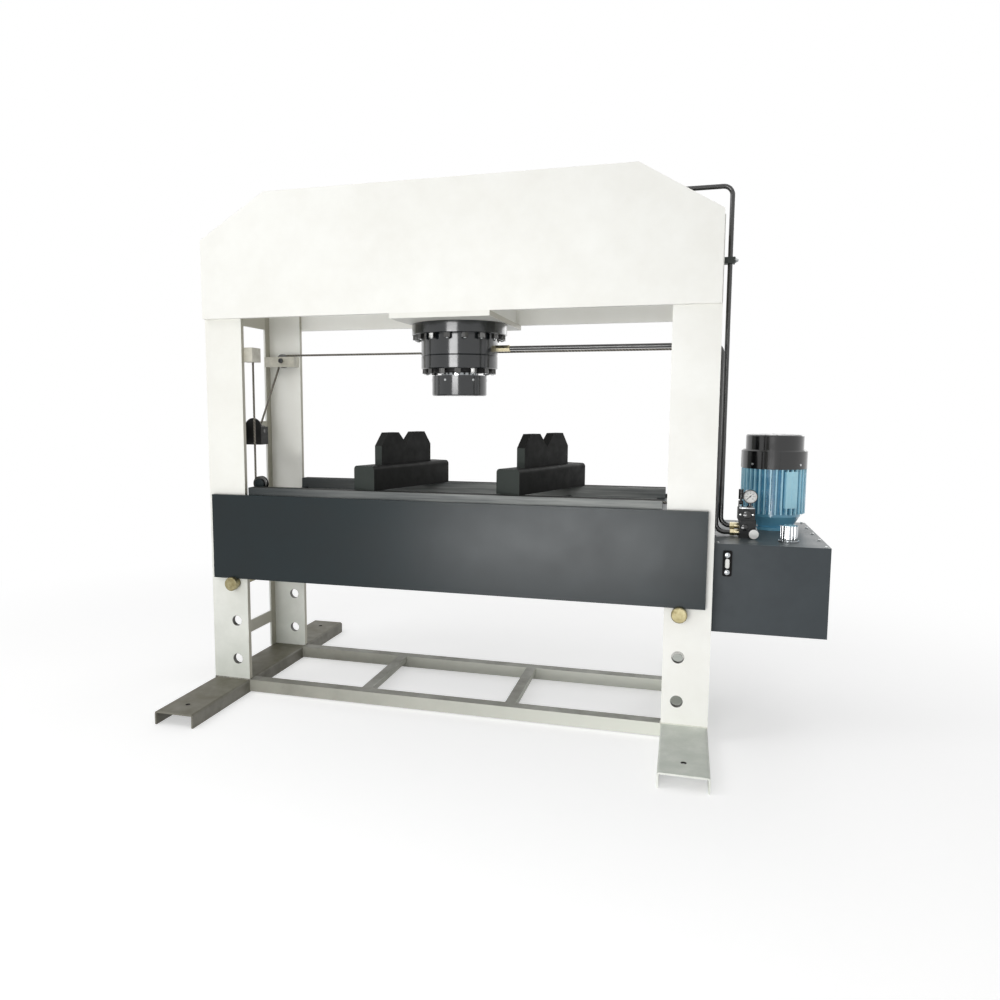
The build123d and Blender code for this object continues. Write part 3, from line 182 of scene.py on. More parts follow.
class Pattern(Enum):
    """How a finish varies over its surface."""

    MOTTLED = "mottled"
    BRUSHED = "brushed"
    STRANDED = "stranded"
    TURNED = "turned"
    SHADED_LOW = "shaded_low"
    SOILED = "soiled"


class Measure(Enum):
    """What a tint is spread by."""

    ALONG = "place along an axis"
    FACING = "faces that look along an axis"
    AWAY = "distance from an axis"


@dataclass(frozen=True)
class Tint:
    """A second colour over part of a finish, in metres.

    The colour is full at the first end of the span and gone at the other.
    An axis to measure from counts on both sides of the press, and may repeat up along Z.
    """

    measure: Measure
    colour: str
    axis: Point
    span: tuple[float, float]
    centre: Point = NONE
    pitch: float = 0.0
    count: int = 1

    def lay(self, tree: bpy.types.NodeTree, colour: Socket) -> Socket:
        """Lay the tint over a colour.

        Args:
            tree: the material's node tree.
            colour: the colour underneath.

        Returns:
            The tinted colour.
        """
        if self.measure is Measure.AWAY:
            size = self._away(tree)
        else:
            if self.measure is Measure.FACING:
                source = add_node(tree, "ShaderNodeNewGeometry").outputs["Normal"]
            else:
                source = add_node(tree, "ShaderNodeTexCoord").outputs["Object"]
            size = add_node(tree, "ShaderNodeVectorMath", {"operation": "DOT_PRODUCT", 1: self.axis},
                            {0: source}).outputs["Value"]
        if self.measure is Measure.FACING:
            size = add_node(tree, "ShaderNodeMath", {"operation": "ABSOLUTE"}, {0: size}).outputs["Value"]
        share = add_node(tree, "ShaderNodeMapRange",
                         {"From Min": self.span[0], "From Max": self.span[1], "To Min": 1.0, "To Max": 0.0},
                         {"Value": size})
        mix = add_node(tree, "ShaderNodeMix", {"data_type": "RGBA", 7: linear(self.colour)},
                       {"Factor": share.outputs["Result"], 6: colour})
        return mix.outputs[2]

    def _away(self, tree: bpy.types.NodeTree) -> Socket:
        """Measure how far a place is from the nearest axis of the row.

        Args:
            tree: the material's node tree.

        Returns:
            The distance.
        """
        kind = "ShaderNodeVectorMath"
        off = add_node(tree, "ShaderNodeTexCoord").outputs["Object"]
        for operation, other in (("ABSOLUTE", NONE), ("SUBTRACT", self.centre)):
            off = add_node(tree, kind, {"operation": operation, 1: other}, {0: off}).outputs["Vector"]
        step = off
        last = (0.0, 0.0, self.pitch * (self.count - 1))
        for operation, other in (("ADD", (0.0, 0.0, self.pitch / 2)), ("SNAP", (0.0, 0.0, self.pitch)),
                                 ("MINIMUM", last), ("MAXIMUM", NONE)):
            step = add_node(tree, kind, {"operation": operation, 1: other}, {0: step}).outputs["Vector"]
        near = add_node(tree, kind, {"operation": "SUBTRACT"}, {0: off, 1: step})
        across = [1.0 - abs(part) for part in self.axis]
        flat = add_node(tree, kind, {"operation": "MULTIPLY", 1: across}, {0: near.outputs["Vector"]})
        return add_node(tree, kind, {"operation": "LENGTH"}, {0: flat.outputs["Vector"]}).outputs["Value"]


@dataclass(frozen=True)
class Finish:
    """A real finish: its colours, gloss and surface grain.

    Colours are sRGB hex values and sizes are in millimetres.
    """

    name: str
    base: str
    shade: str
    roughness: tuple[float, float]
    metallic: float = 0.0
    ior: float = 1.5
    mottle_mm: float = 160.0
    mottle: float = 0.6
    grit_mm: float = 3.0
    bump_mm: float = 0.05
    coat: float = 0.0
    pattern: Pattern = Pattern.MOTTLED
    soil_and_shade: str = "#8D8878"
    tints: tuple[Tint, ...] = ()

    @cache
    def build(self) -> bpy.types.Material:
        """Make the material of this finish, once.

        Returns:
            The material.
        """
        material = bpy.data.materials.new(self.name)
        material.use_nodes = True
        tree = material.node_tree
        shader = tree.nodes["Principled BSDF"].inputs
        shader["Metallic"].default_value = self.metallic
        if self.metallic < METAL_FROM:
            shader["IOR"].default_value = self.ior
        shader["Coat Weight"].default_value = self.coat
        shader["Coat Roughness"].default_value = COAT_ROUGHNESS
        place = add_node(tree, "ShaderNodeTexCoord").outputs["Object"]
        if self.pattern is Pattern.BRUSHED:
            stretch = add_node(tree, "ShaderNodeMapping", {"Scale": SCRATCH_STRETCH}, {"Vector": place})
            place = stretch.outputs["Vector"]
        broad = add_node(tree, "ShaderNodeTexNoise", {"Scale": 1.0 / (self.mottle_mm * MM), **BROAD_NOISE},
                         {"Vector": place}).outputs["Fac"]
        grit = add_node(tree, "ShaderNodeTexNoise", {"Scale": 1.0 / (self.grit_mm * MM), **FINE_NOISE},
                        {"Vector": place}).outputs["Fac"]
        amount = add_node(tree, "ShaderNodeMapRange", {**MOTTLE_RANGE, "To Max": self.mottle}, {"Value": broad})
        paint = add_node(tree, "ShaderNodeMix", {"data_type": "RGBA", 6: linear(self.base), 7: linear(self.shade)},
                         {"Factor": amount.outputs["Result"]})
        colour, height = self._patterned(tree, place, paint.outputs[2], grit)
        under = [tint for tint in self.tints if tint.measure is Measure.ALONG]
        for tint in under:
            colour = tint.lay(tree, colour)
        if self.pattern in (Pattern.SHADED_LOW, Pattern.SOILED):
            colour = self._soil_and_shade(tree, colour, broad)
        for tint in self.tints:
            if tint not in under:
                colour = tint.lay(tree, colour)
        tree.links.new(colour, shader["Base Color"])
        low, high = self.roughness
        gloss = add_node(tree, "ShaderNodeMapRange", {**PATCH_RANGE, "To Min": low, "To Max": high}, {"Value": broad})
        tree.links.new(gloss.outputs["Result"], shader["Roughness"])
        bump = add_node(tree, "ShaderNodeBump", {"Strength": BUMP_STRENGTH, "Distance": self.bump_mm * MM},
                        {"Height": height})
        tree.links.new(bump.outputs["Normal"], shader["Normal"])
        return material

    def _patterned(self, tree: bpy.types.NodeTree, place: Socket, colour: Socket,
                   height: Socket) -> tuple[Socket, Socket]:
        """Add the strands of a rope or the marks of turning.

        Args:
            tree: the material's node tree.
            place: where on the piece.
            colour: the plain colour.
            height: the plain surface's height.

        Returns:
            The colour and the height with the pattern.
        """
        if self.pattern is Pattern.STRANDED:
            lay = add_node(tree, "ShaderNodeTexWave",
                           {"wave_type": "BANDS", "bands_direction": "DIAGONAL", "Scale": DIAGONAL_BAND / STRAND_PITCH},
                           {"Vector": place}).outputs["Fac"]
            # Painted shade in the grooves between the strands
            gaps = add_node(tree, "ShaderNodeMix", {"data_type": "RGBA", 6: linear(STRAND_GAP_SHADE)},
                            {"Factor": lay, 7: colour})
            return gaps.outputs[2], lay
        if self.pattern is Pattern.TURNED:
            rings = add_node(tree, "ShaderNodeTexWave",
                             {"wave_type": "BANDS", "bands_direction": "Z", "Scale": AXIS_BAND / TOOL_MARK,
                              "Distortion": TOOL_WAVER}, {"Vector": place})
            return colour, rings.outputs["Fac"]
        return colour, height

    def _soil_and_shade(self, tree: bpy.types.NodeTree, colour: Socket, patch: Socket) -> Socket:
        """Lay soil on top faces, or painted shade low on the piece.

        Args:
            tree: the material's node tree.
            colour: the colour underneath.
            patch: a broad noise that breaks up the soil and the painted shade.

        Returns:
            The colour with the soil or the painted shade.
        """
        if self.pattern is Pattern.SOILED:
            source, span = add_node(tree, "ShaderNodeNewGeometry").outputs["Normal"], SOIL_ON_TOP
        else:
            # Painted shade: darker from one metre down to the floor
            source, span = add_node(tree, "ShaderNodeTexCoord").outputs["Object"], SHADE_BELOW
        split = add_node(tree, "ShaderNodeSeparateXYZ", links={"Vector": source})
        share = add_node(tree, "ShaderNodeMapRange", span, {"Value": split.outputs["Z"]})
        broken = add_node(tree, "ShaderNodeMapRange", SOIL_AND_SHADE_PATCHES, {"Value": patch})
        factor = add_node(tree, "ShaderNodeMath", {"operation": "MULTIPLY"},
                          {0: share.outputs["Result"], 1: broken.outputs["Result"]})
        mix = add_node(tree, "ShaderNodeMix", {"data_type": "RGBA", 7: linear(self.soil_and_shade)},
                       {"Factor": factor.outputs["Value"], 6: colour})
        return mix.outputs[2]


# Bare steel darkened with painted shade in the drilled pin holes of the uprights, and near-black painted shade in the
# anchor holes of the feet
PIN_HOLES = Tint(Measure.AWAY, "#55554F", BACK, (0.0268, 0.0275), centre=(1.09, 0.0, 0.17), pitch=0.2, count=4)
ANCHOR_HOLES = Tint(Measure.AWAY, "#1F1D18", UP, (0.0116, 0.0122), centre=(1.125, 0.713, 0.0))
# Painted shade in the grooves between the motor's fins
FIN_GROOVES = Tint(Measure.AWAY, "#4A91B2", UP, (0.131, 0.144), centre=(1.517, 0.338, 0.0))
# Greyer ends of the V-blocks, which lie at these angles on the bed
LEFT_ENDS = Tint(Measure.FACING, "#333835", level_axis(19), FACE_ON)
RIGHT_ENDS = Tint(Measure.FACING, "#333835", level_axis(22), FACE_ON)

# Brushed-on ivory alkyd enamel: warm white, slightly uneven, with painted shade that greys it towards the floor and on
# faces that look along X
IVORY = Finish("ivory_enamel", "#F6F6F0", "#ECEBE3", (0.35, 0.5), mottle_mm=240.0, grit_mm=6.0, bump_mm=0.12,
               pattern=Pattern.SHADED_LOW, soil_and_shade="#B4BAB0",
               tints=(Tint(Measure.FACING, "#B5B2A3", RIGHT, FACE_ON), PIN_HOLES))
# The same enamel on the ties and plates between the uprights, a little darker as painted shade, with painted shade
# towards the floor and a lighter painted shade on faces that look along X
TIE_IVORY = Finish("tie_ivory_enamel", "#F1F1EA", "#E3E2D9", (0.35, 0.5), mottle_mm=200.0, grit_mm=6.0, bump_mm=0.12,
                   pattern=Pattern.SHADED_LOW, soil_and_shade="#B4BAB0",
                   tints=(Tint(Measure.FACING, "#CFCCBF", RIGHT, FACE_ON),))
# The same enamel on the right uprights and the head, a little paler as painted light and without the painted shade
# towards the floor and on the sides
LIT_IVORY = Finish("lit_ivory_enamel", "#F8F8F3", "#EEEDE6", (0.35, 0.5), mottle_mm=240.0, grit_mm=6.0,
                     bump_mm=0.12, tints=(PIN_HOLES,))
# The same enamel on the right foot: pale as painted light, scuffed on its top face
RIGHT_BASE = Finish("lit_scuffed_base_enamel", "#EDEFE8", "#CFD3CA", (0.4, 0.6), mottle_mm=110.0, mottle=0.9, grit_mm=5.0,
                    bump_mm=0.15, pattern=Pattern.SOILED, soil_and_shade="#C6CDC3", tints=(ANCHOR_HOLES,))
# The left foot: the base enamel darkened partly by dirt and partly as painted shade, browner with dirt on its top face
LEFT_BASE = Finish("shaded_dirty_base_enamel", "#77756B", "#5E5C51", (0.42, 0.62), mottle_mm=110.0, mottle=0.9, grit_mm=5.0,
                   bump_mm=0.15, pattern=Pattern.SOILED, soil_and_shade="#5F5B49", tints=(ANCHOR_HOLES,))
# The base ladder: darker by the left foot and paler towards the right one, a painted gradient of light, with dirt on
# top
LADDER = Finish("ladder_enamel", "#98978D", "#808076", (0.42, 0.62), mottle_mm=130.0, grit_mm=5.0, bump_mm=0.15,
                pattern=Pattern.SOILED, soil_and_shade="#74736A",
                tints=(Tint(Measure.ALONG, "#E2E4DA", RIGHT, (1.05, -0.8)),))
# Light grey enamel on the sheave brackets
BRACKET = Finish("grey_bracket_enamel", "#D3D0C3", "#B0AD9F", (0.35, 0.5), mottle_mm=40.0, mottle=0.8)
# Dark slate two-pack paint on the bed: satin, with a faint roller texture and a broad sheen
SLATE = Finish("slate_bed_paint", "#0D1C20", "#091518", (0.28, 0.34), ior=1.42, mottle_mm=220.0, mottle=0.8,
               grit_mm=4.0, bump_mm=0.06)
# Semi-gloss grey-black paint over turned steel: mirrors a lamp as one upright stripe
CYLINDER = Finish("cylinder_semi_gloss", "#12171A", "#0C1012", (0.12, 0.2), ior=1.46, mottle_mm=60.0, coat=0.8,
                  pattern=Pattern.TURNED, bump_mm=0.01)
# Zinc-plated or ground steel: bright with a faint grain
BRIGHT = Finish("bright_zinc_steel", "#C9CBCB", "#A9ACAD", (0.22, 0.38), metallic=1.0, mottle_mm=12.0, grit_mm=1.5)
# Dark zinc on the cylinder bolts, the wheels and the drum: only their edges catch the light
DARK_ZINC = Finish("dark_zinc_bolts", "#686867", "#424241", (0.16, 0.3), metallic=1.0, mottle_mm=12.0, grit_mm=1.5)
# Hard chrome: mirror bright
CHROME = Finish("hard_chrome_plate", "#C6C9CB", "#A6AAAD", (0.06, 0.14), metallic=1.0, mottle_mm=40.0, bump_mm=0.01)
# The rod's chrome under a film of oil
OILED = Finish("oiled_rod_chrome", "#A3A6A8", "#85888A", (0.08, 0.16), metallic=1.0, mottle_mm=40.0, bump_mm=0.01)
# Worn flat steel of the bed bars: dull and scratched along their length, darker to the left as painted shade, and dark
# on top faces partly with oil and partly as painted shade
WORN = Finish("worn_bar_steel", "#A6A8A5", "#626667", (0.66, 0.85), metallic=0.2, ior=1.3, mottle_mm=26.0, mottle=0.9,
              grit_mm=2.5, bump_mm=0.12, pattern=Pattern.BRUSHED,
              tints=(Tint(Measure.ALONG, "#3C4041", RIGHT, (-1.0, 0.1)),
                     Tint(Measure.FACING, "#232422", UP, FACE_ON)))
# Black mill scale and oil on the V-blocks, greyer on their sawn ends
LEFT_SCALE = Finish("left_mill_scale", "#0D0E0C", "#070806", (0.5, 0.68), ior=1.3, mottle_mm=45.0, grit_mm=4.0,
                    bump_mm=0.25, tints=(LEFT_ENDS,))
RIGHT_SCALE = Finish("right_mill_scale", "#0D0E0C", "#070806", (0.5, 0.68), ior=1.3, mottle_mm=45.0, grit_mm=4.0,
                     bump_mm=0.25, tints=(RIGHT_ENDS,))
# Phosphated steel tube, oiled: dark grey with a bright line of sky along it
TUBE = Finish("phosphated_tube", "#343433", "#242424", (0.16, 0.26), metallic=0.3, mottle_mm=70.0, coat=1.0)
# Machined brass fittings, pale and bright
BRASS = Finish("machined_brass", "#EEE5C6", "#C9B884", (0.16, 0.3), metallic=1.0, mottle_mm=14.0, bump_mm=0.02)
# Yellow passivated zinc on the bed pins, dulled by handling
PASSIVATED = Finish("yellow_passivate", "#A69E7D", "#756A45", (0.32, 0.5), metallic=1.0, mottle_mm=26.0, mottle=0.8,
                    bump_mm=0.03)
# Tank paint: satin graphite, dusty on top
GRAPHITE = Finish("graphite_tank_paint", "#363D41", "#2D3337", (0.36, 0.5), ior=1.42, mottle_mm=180.0, grit_mm=4.0,
                  bump_mm=0.1, pattern=Pattern.SOILED, soil_and_shade="#5A6264")
# Motor enamel: gloss blue over cast aluminium, lightened on the fins as a painted highlight, with painted shade down
# between them
BLUE = Finish("blue_motor_enamel", "#B4E6F6", "#9AD6EC", (0.2, 0.32), mottle_mm=70.0, coat=0.4, grit_mm=5.0,
              bump_mm=0.15, tints=(FIN_GROOVES,))
# The same enamel on the bell under the fins, without the fins' painted highlight
BELL = Finish("blue_bell_enamel", "#6FB0CC", "#5A9DBC", (0.2, 0.32), mottle_mm=70.0, coat=0.4, grit_mm=5.0,
              bump_mm=0.15)
# Stoved gloss black on pressed sheet
BLACK = Finish("stoved_black", "#0C0D0E", "#070808", (0.12, 0.22), mottle_mm=90.0, coat=0.6)
# Black paint, duller, on the winch
SOOT = Finish("winch_black", "#141515", "#0C0D0D", (0.4, 0.55), ior=1.35, mottle_mm=40.0)
# Matt black moulding of the level gauge
MATT = Finish("matt_black_moulding", "#060606", "#030303", (0.55, 0.7), ior=1.25, mottle_mm=20.0, bump_mm=0.02)
# Moulded white plastic
WHITE = Finish("white_moulding", "#F2F2EF", "#E4E4E0", (0.35, 0.5), mottle_mm=40.0, bump_mm=0.02)
# Phosphated iron of the valve block
PHOSPHATE = Finish("phosphated_iron", "#1D1F20", "#121415", (0.42, 0.58), metallic=0.3, mottle_mm=18.0, bump_mm=0.12)
# Dark green-grey polypropylene of the pipe clamp
CLAMP = Finish("moulded_clamp", "#3A403D", "#2A2E2C", (0.45, 0.6), mottle_mm=14.0, bump_mm=0.05)
# Galvanised wire rope, oiled dark and laid in strands, with painted shade between the strands
ROPE = Finish("galvanised_rope", "#9A9488", "#6A645B", (0.35, 0.5), metallic=0.5, mottle_mm=30.0, bump_mm=0.9,
              pattern=Pattern.STRANDED)
# Nitrile rubber
RUBBER = Finish("nitrile_rubber", "#151515", "#0C0C0C", (0.55, 0.7), mottle_mm=20.0)
# Clear acrylic window over a white reflector
WINDOW = Finish("acrylic_window", "#FAFAF6", "#EEEEE8", (0.05, 0.1), ior=1.49, mottle_mm=30.0, coat=0.6, bump_mm=0.01)
# Printing ink on the dial
INK = Finish("dial_ink", "#141414", "#0B0B0B", (0.5, 0.6), mottle_mm=10.0, bump_mm=0.01)
# Welds left rough on the left uprights, darkened partly by dirt and partly as painted shade where the uprights meet the
# feet
WELD = Finish("rough_weld", "#A9A79B", "#34332D", (0.4, 0.55), mottle_mm=24.0, mottle=1.0, grit_mm=4.0, bump_mm=0.3)
# The same welds on the right side, painted over and pale as painted light
LIT_WELD = Finish("painted_weld", "#E4E4DA", "#C6C6BB", (0.4, 0.55), mottle_mm=12.0, grit_mm=4.0, bump_mm=0.3)

NODE_FINISHES: dict[Finish, tuple[str, ...]] = {
    IVORY: ("left_front_upright", "left_rear_upright"),
    TIE_IVORY: ("side_ties", "cylinder_mount_plate", "side_brackets"),
    LIT_IVORY: ("right_front_upright", "right_rear_upright", "head_front_plate", "head_rear_plate", "head_ribs"),
    LEFT_BASE: ("left_foot",),
    LADDER: ("base_rails", "base_cross_bars"),
    RIGHT_BASE: ("right_foot",),
    BRACKET: ("sheave_brackets",),
    SLATE: ("bed_front_plate", "bed_rear_plate", "bed_ribs"),
    CYLINDER: ("cylinder_barrel", "cylinder_gland", "ram_nose"),
    DARK_ZINC: ("cylinder_bolts", "left_sheave", "right_sheave", "bed_left_pulley", "bed_right_pulley", "winch_drum"),
    BRIGHT: ("piston", "motor_rotor"),
    CHROME: ("filler_cap", "filler_neck"),
    OILED: ("ram_rod",),
    WORN: ("bed_rails",),
    LEFT_SCALE: ("left_v_block",),
    RIGHT_SCALE: ("right_v_block",),
    TUBE: ("upper_pipe", "lower_pipe"),
    BRASS: ("pipe_fittings",),
    PASSIVATED: ("left_pin", "right_pin"),
    GRAPHITE: ("oil_tank", "tank_lid", "pump"),
    BLUE: ("motor_body",),
    BELL: ("motor_bell",),
    BLACK: ("fan_cover", "gauge_case", "valve_lever"),
    MATT: ("sight_gauge",),
    SOOT: ("winch_housing",),
    WHITE: ("relief_cap", "gauge_dial"),
    PHOSPHATE: ("valve_block",),
    ROPE: ("rope_run", "left_fall", "right_fall", "bed_rope"),
    RUBBER: ("piston_seals",),
    WINDOW: ("sight_window",),
    INK: ("gauge_needle",),
}


def scaled(shape: Outline, radius: float) -> Outline:
    """Size the outline of a screw head.

    Args:
        shape: shares of the radius, each with a height in millimetres.
        radius: the head's radius in metres.

    Returns:
        Radius and height pairs in metres.
    """
    return tuple((radius * share, height * MM) for share, height in shape)


def middle_of(name: str) -> Vector:
    """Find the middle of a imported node's box.

    Args:
        name: the node's name.

    Returns:
        The middle of the box.
    """
    low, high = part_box(name)
    return Vector([(a + b) / 2 for a, b in zip(low, high)])


class Shaper:
    """Collects shapes in one mesh and makes a piece of it."""

    def __init__(self) -> None:
        """Start with an empty mesh."""
        self.bm = bmesh.new()

    @staticmethod
    def _edges(verts: Iterable[bmesh.types.BMVert]) -> list[bmesh.types.BMEdge]:
        """List each edge at some vertices once."""
        return list(dict.fromkeys(e for v in verts for e in v.link_edges))

    def _bevel(self, edges: list[bmesh.types.BMEdge], width: float) -> None:
        """Round off edges."""
        bmesh.ops.bevel(self.bm, geom=edges, offset=width, offset_type="OFFSET", segments=2, profile=0.5,
                        affect="EDGES", material=-1)

    def drum(self, centre: Sequence[float], axis: Sequence[float], radius: float, length: float, sides: int,
             edge: float) -> None:
        """Add a closed drum that starts at centre and runs along axis.

        Args:
            centre: middle of its first end.
            axis: direction in which it runs.
            radius: its radius.
            length: length along axis.
            sides: number of sides, six for a nut.
            edge: width of the bevel on its rims, zero for sharp rims.
        """
        turn = Vector(axis).to_track_quat("Z", "Y").to_matrix().to_4x4()
        place = Matrix.Translation(Vector(centre) + Vector(axis).normalized() * (length / 2)) @ turn
        made = bmesh.ops.create_cone(self.bm, cap_ends=True, cap_tris=False, segments=sides, radius1=radius,
                                     radius2=radius, depth=length, matrix=place)
        if edge > 0.0:
            self._bevel([e for e in self._edges(made["verts"]) if any(len(f.verts) > 4 for f in e.link_faces)], edge)

    def block(self, low: Sequence[float], high: Sequence[float], edge: float) -> None:
        """Add a box with bevelled edges.

        Args:
            low: its low corner.
            high: its high corner.
            edge: width of the bevel.
        """
        size = Vector(high) - Vector(low)
        place = Matrix.Translation((Vector(low) + Vector(high)) / 2) @ Matrix.Diagonal((*size, 1.0))
        made = bmesh.ops.create_cube(self.bm, size=1.0, matrix=place)
        self._bevel(self._edges(made["verts"]), edge)

    def turned(self, outline: Outline, centre: Sequence[float], axis: Sequence[float], steps: int) -> None:
        """Spin an outline of radius and height about an axis.

        It ends on the axis or where it began, so that the shape is closed.

        Args:
            outline: radius and height pairs, in order.
            centre: where height is zero.
            axis: direction of the height.
            steps: steps in the full turn.
        """
        turn = Vector(axis).to_track_quat("Z", "Y").to_matrix().to_4x4()
        place = Matrix.Translation(centre) @ turn
        before = set(self.bm.faces)
        ring = [self.bm.verts.new(place @ Vector((r, 0.0, z))) for r, z in outline]
        edges = [self.bm.edges.new(pair) for pair in zip(ring, ring[1:])]
        bmesh.ops.spin(self.bm, geom=ring + edges, cent=centre, axis=Vector(axis), angle=math.tau, steps=steps,
                       use_merge=True)
        made = [f for f in self.bm.faces if f not in before]
        bmesh.ops.remove_doubles(self.bm, verts=list(dict.fromkeys(v for f in made for v in f.verts)), dist=1e-6)
        bmesh.ops.recalc_face_normals(self.bm, faces=[f for f in self.bm.faces if f not in before])

    def bead(self, start: Point, end: Point, radius: float, pitch: float = 6.0 * MM) -> None:
        """Add a rippled weld bead between two points.

        Args:
            start: one end of the bead.
            end: its other end.
            radius: radius of the bead.
            pitch: distance between its ripples.
        """
        run = Vector(end) - Vector(start)
        turn = run.to_track_quat("Z", "Y").to_matrix().to_4x4()
        steps = max(4, int(run.length / pitch) * 2)
        place = Matrix.Translation(start) @ turn
        made = bmesh.ops.create_circle(self.bm, cap_ends=True, segments=ROUND_SIDES, radius=radius * BEAD_START,
                                       matrix=place)
        ring = self._edges(made["verts"])
        step = run / steps
        for index in range(steps):
            grown = bmesh.ops.extrude_edge_only(self.bm, edges=ring)["geom"]
            verts = [g for g in grown if isinstance(g, bmesh.types.BMVert)]
            bmesh.ops.translate(self.bm, verts=verts, vec=step)
            middle = Vector(start) + step * (index + 1)
            swell = 1.0 if index % 2 else BEAD_DIP
            size = radius * swell / max((verts[0].co - middle).length, 1e-9)
            bmesh.ops.scale(self.bm, verts=verts, vec=(size, size, size), space=Matrix.Translation(-middle))
            ring = [g for g in grown if isinstance(g, bmesh.types.BMEdge) and all(v in verts for v in g.verts)]
        bmesh.ops.contextual_create(self.bm, geom=ring)

    def strands(self, low: Point, high: Point, radius: float, lay: float, count: int = 6) -> None:
        """Lay strands in a helix round an upright rope.

        Args:
            low: middle of its lower end.
            high: middle of its upper end, straight above.
            radius: radius over the strands.
            lay: height of one full turn of a strand.
            count: number of strands.
        """
        run = high[2] - low[2]
        turns = run / lay
        steps = int(turns * TURN_STEPS)
        thick = radius * STRAND_SHARE
        for out in around(count):
            spot = Vector(low) + out * (radius - thick)
            made = bmesh.ops.create_circle(self.bm, cap_ends=True, segments=ROUND_SIDES, radius=thick,
                                           matrix=Matrix.Translation(spot))
            spun = bmesh.ops.spin(self.bm, geom=made["verts"] + self._edges(made["verts"]), cent=low, axis=UP,
                                  dvec=(0.0, 0.0, run / steps), angle=math.tau * turns, steps=steps, use_merge=False)
            last = [g for g in spun["geom_last"] if isinstance(g, bmesh.types.BMEdge)]
            bmesh.ops.contextual_create(self.bm, geom=last)

    def piece(self, name: str, finish: Finish, body: str, slot: str, smooth: float = 35.0) -> bpy.types.Object:
        """Make the collected shapes a piece that rides on a body.

        Args:
            name: the piece's name.
            finish: its finish.
            body: the body that it moves with, or an empty name for a piece that is not attached to any body.
            slot: not used.
            smooth: angle in degrees under which edges look smooth.

        Returns:
            The new object.
        """
        bmesh.ops.recalc_face_normals(self.bm, faces=self.bm.faces)
        limit = math.radians(smooth)
        for face in self.bm.faces:
            face.smooth = True
        for edge in self.bm.edges:
            edge.smooth = edge.calc_face_angle(math.pi) < limit
        mesh = bpy.data.meshes.new(name)
        self.bm.to_mesh(mesh)
        self.bm.free()
        piece = bpy.data.objects.new(name, mesh)
        bpy.context.scene.collection.objects.link(piece)
        mesh.materials.append(finish.build())
        if body:
            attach(piece, body)
        log.info("piece %s: %d faces on %s", name, len(mesh.polygons), body or "two bodies")
        return piece


@dataclass
class FrameWelds:
    """Weld beads where the uprights stand on the feet."""

    bead: float = 5.0 * MM
    web: float = 25.0 * MM

    def build(self) -> None:
        """Run a bead along the outer face and round the inner edge of each upright's foot."""
        for side, finish in (("left", WELD), ("right", LIT_WELD)):
            shaper = Shaper()
            for row, sign in (("front", -1.0), ("rear", 1.0)):
                low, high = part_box(f"{side}_{row}_upright")
                y = low[1] if sign < 0 else high[1]
                inner = high[0] if side == "left" else low[0]
                shaper.bead((low[0], y, low[2]), (high[0], y, low[2]), self.bead)
                shaper.bead((inner, y, low[2]), (inner, y - sign * self.web, low[2]), self.bead)
            shaper.piece(f"{side}_upright_welds", finish, FRAME_BODY, "ivory_paint")


@dataclass
class CylinderTrim:
    """Set screws of the nose, wiper ring of the rod and ends of the cylinder's studs.

    Each row of studs has its circle's radius, its count and its level.
    """

    screws: int = 6
    screw: float = 6.0 * MM
    screw_shape: Outline = ((0.0, 3.2), (0.5, 3.2), (0.55, 4.2), (0.9, 4.2), (1.0, 3.6), (1.0, 0.0), (0.0, 0.0))
    screw_steps: int = 20
    screw_sink: float = 3.0 * MM
    screw_drop: float = 22.0 * MM
    wiper: Point = (91.5 * MM, 128.0 * MM, 16.0 * MM)
    wiper_chamfer: float = 3.0 * MM
    wiper_steps: int = 64
    stud: Drum = (7.0 * MM, 4.0 * MM, 16, 1.5 * MM)
    studs: tuple[tuple[float, int, float], ...] = ((214.0 * MM, 16, 1.788), (168.0 * MM, 14, 1.624))

    def build(self) -> None:
        """Place the screws, the ring and the stud ends."""
        low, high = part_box("ram_nose")
        radius = (high[0] - low[0]) / 2
        shaper = Shaper()
        for out in around(self.screws, 0.25):
            place = out * (radius - self.screw_sink) + Vector((0.0, 0.0, high[2] - self.screw_drop))
            shaper.turned(scaled(self.screw_shape, self.screw), place, out, self.screw_steps)
        shaper.piece("nose_set_screws", BRIGHT, "ram", "bright_steel")
        self._wiper()
        self._stud_ends()

    def _wiper(self) -> None:
        """Hang the black wiper ring under the gland."""
        low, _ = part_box("cylinder_gland")
        inner, outer, deep = self.wiper
        cut = self.wiper_chamfer
        outline = ((inner, 0.0), (outer, 0.0), (outer, deep - cut), (outer - cut, deep), (inner, deep), (inner, 0.0))
        ring = Shaper()
        ring.turned(outline, (0.0, 0.0, low[2]), DOWN, self.wiper_steps)
        ring.piece("rod_wiper_ring", RUBBER, FRAME_BODY, "black_gloss")

    def _stud_ends(self) -> None:
        """Set a bright rounded end under each bolt head."""
        shaper = Shaper()
        for circle, count, level in self.studs:
            for out in around(count):
                shaper.drum(out * circle + Vector((0.0, 0.0, level)), DOWN, *self.stud)
        shaper.piece("stud_ends", BRIGHT, FRAME_BODY, "bright_steel")


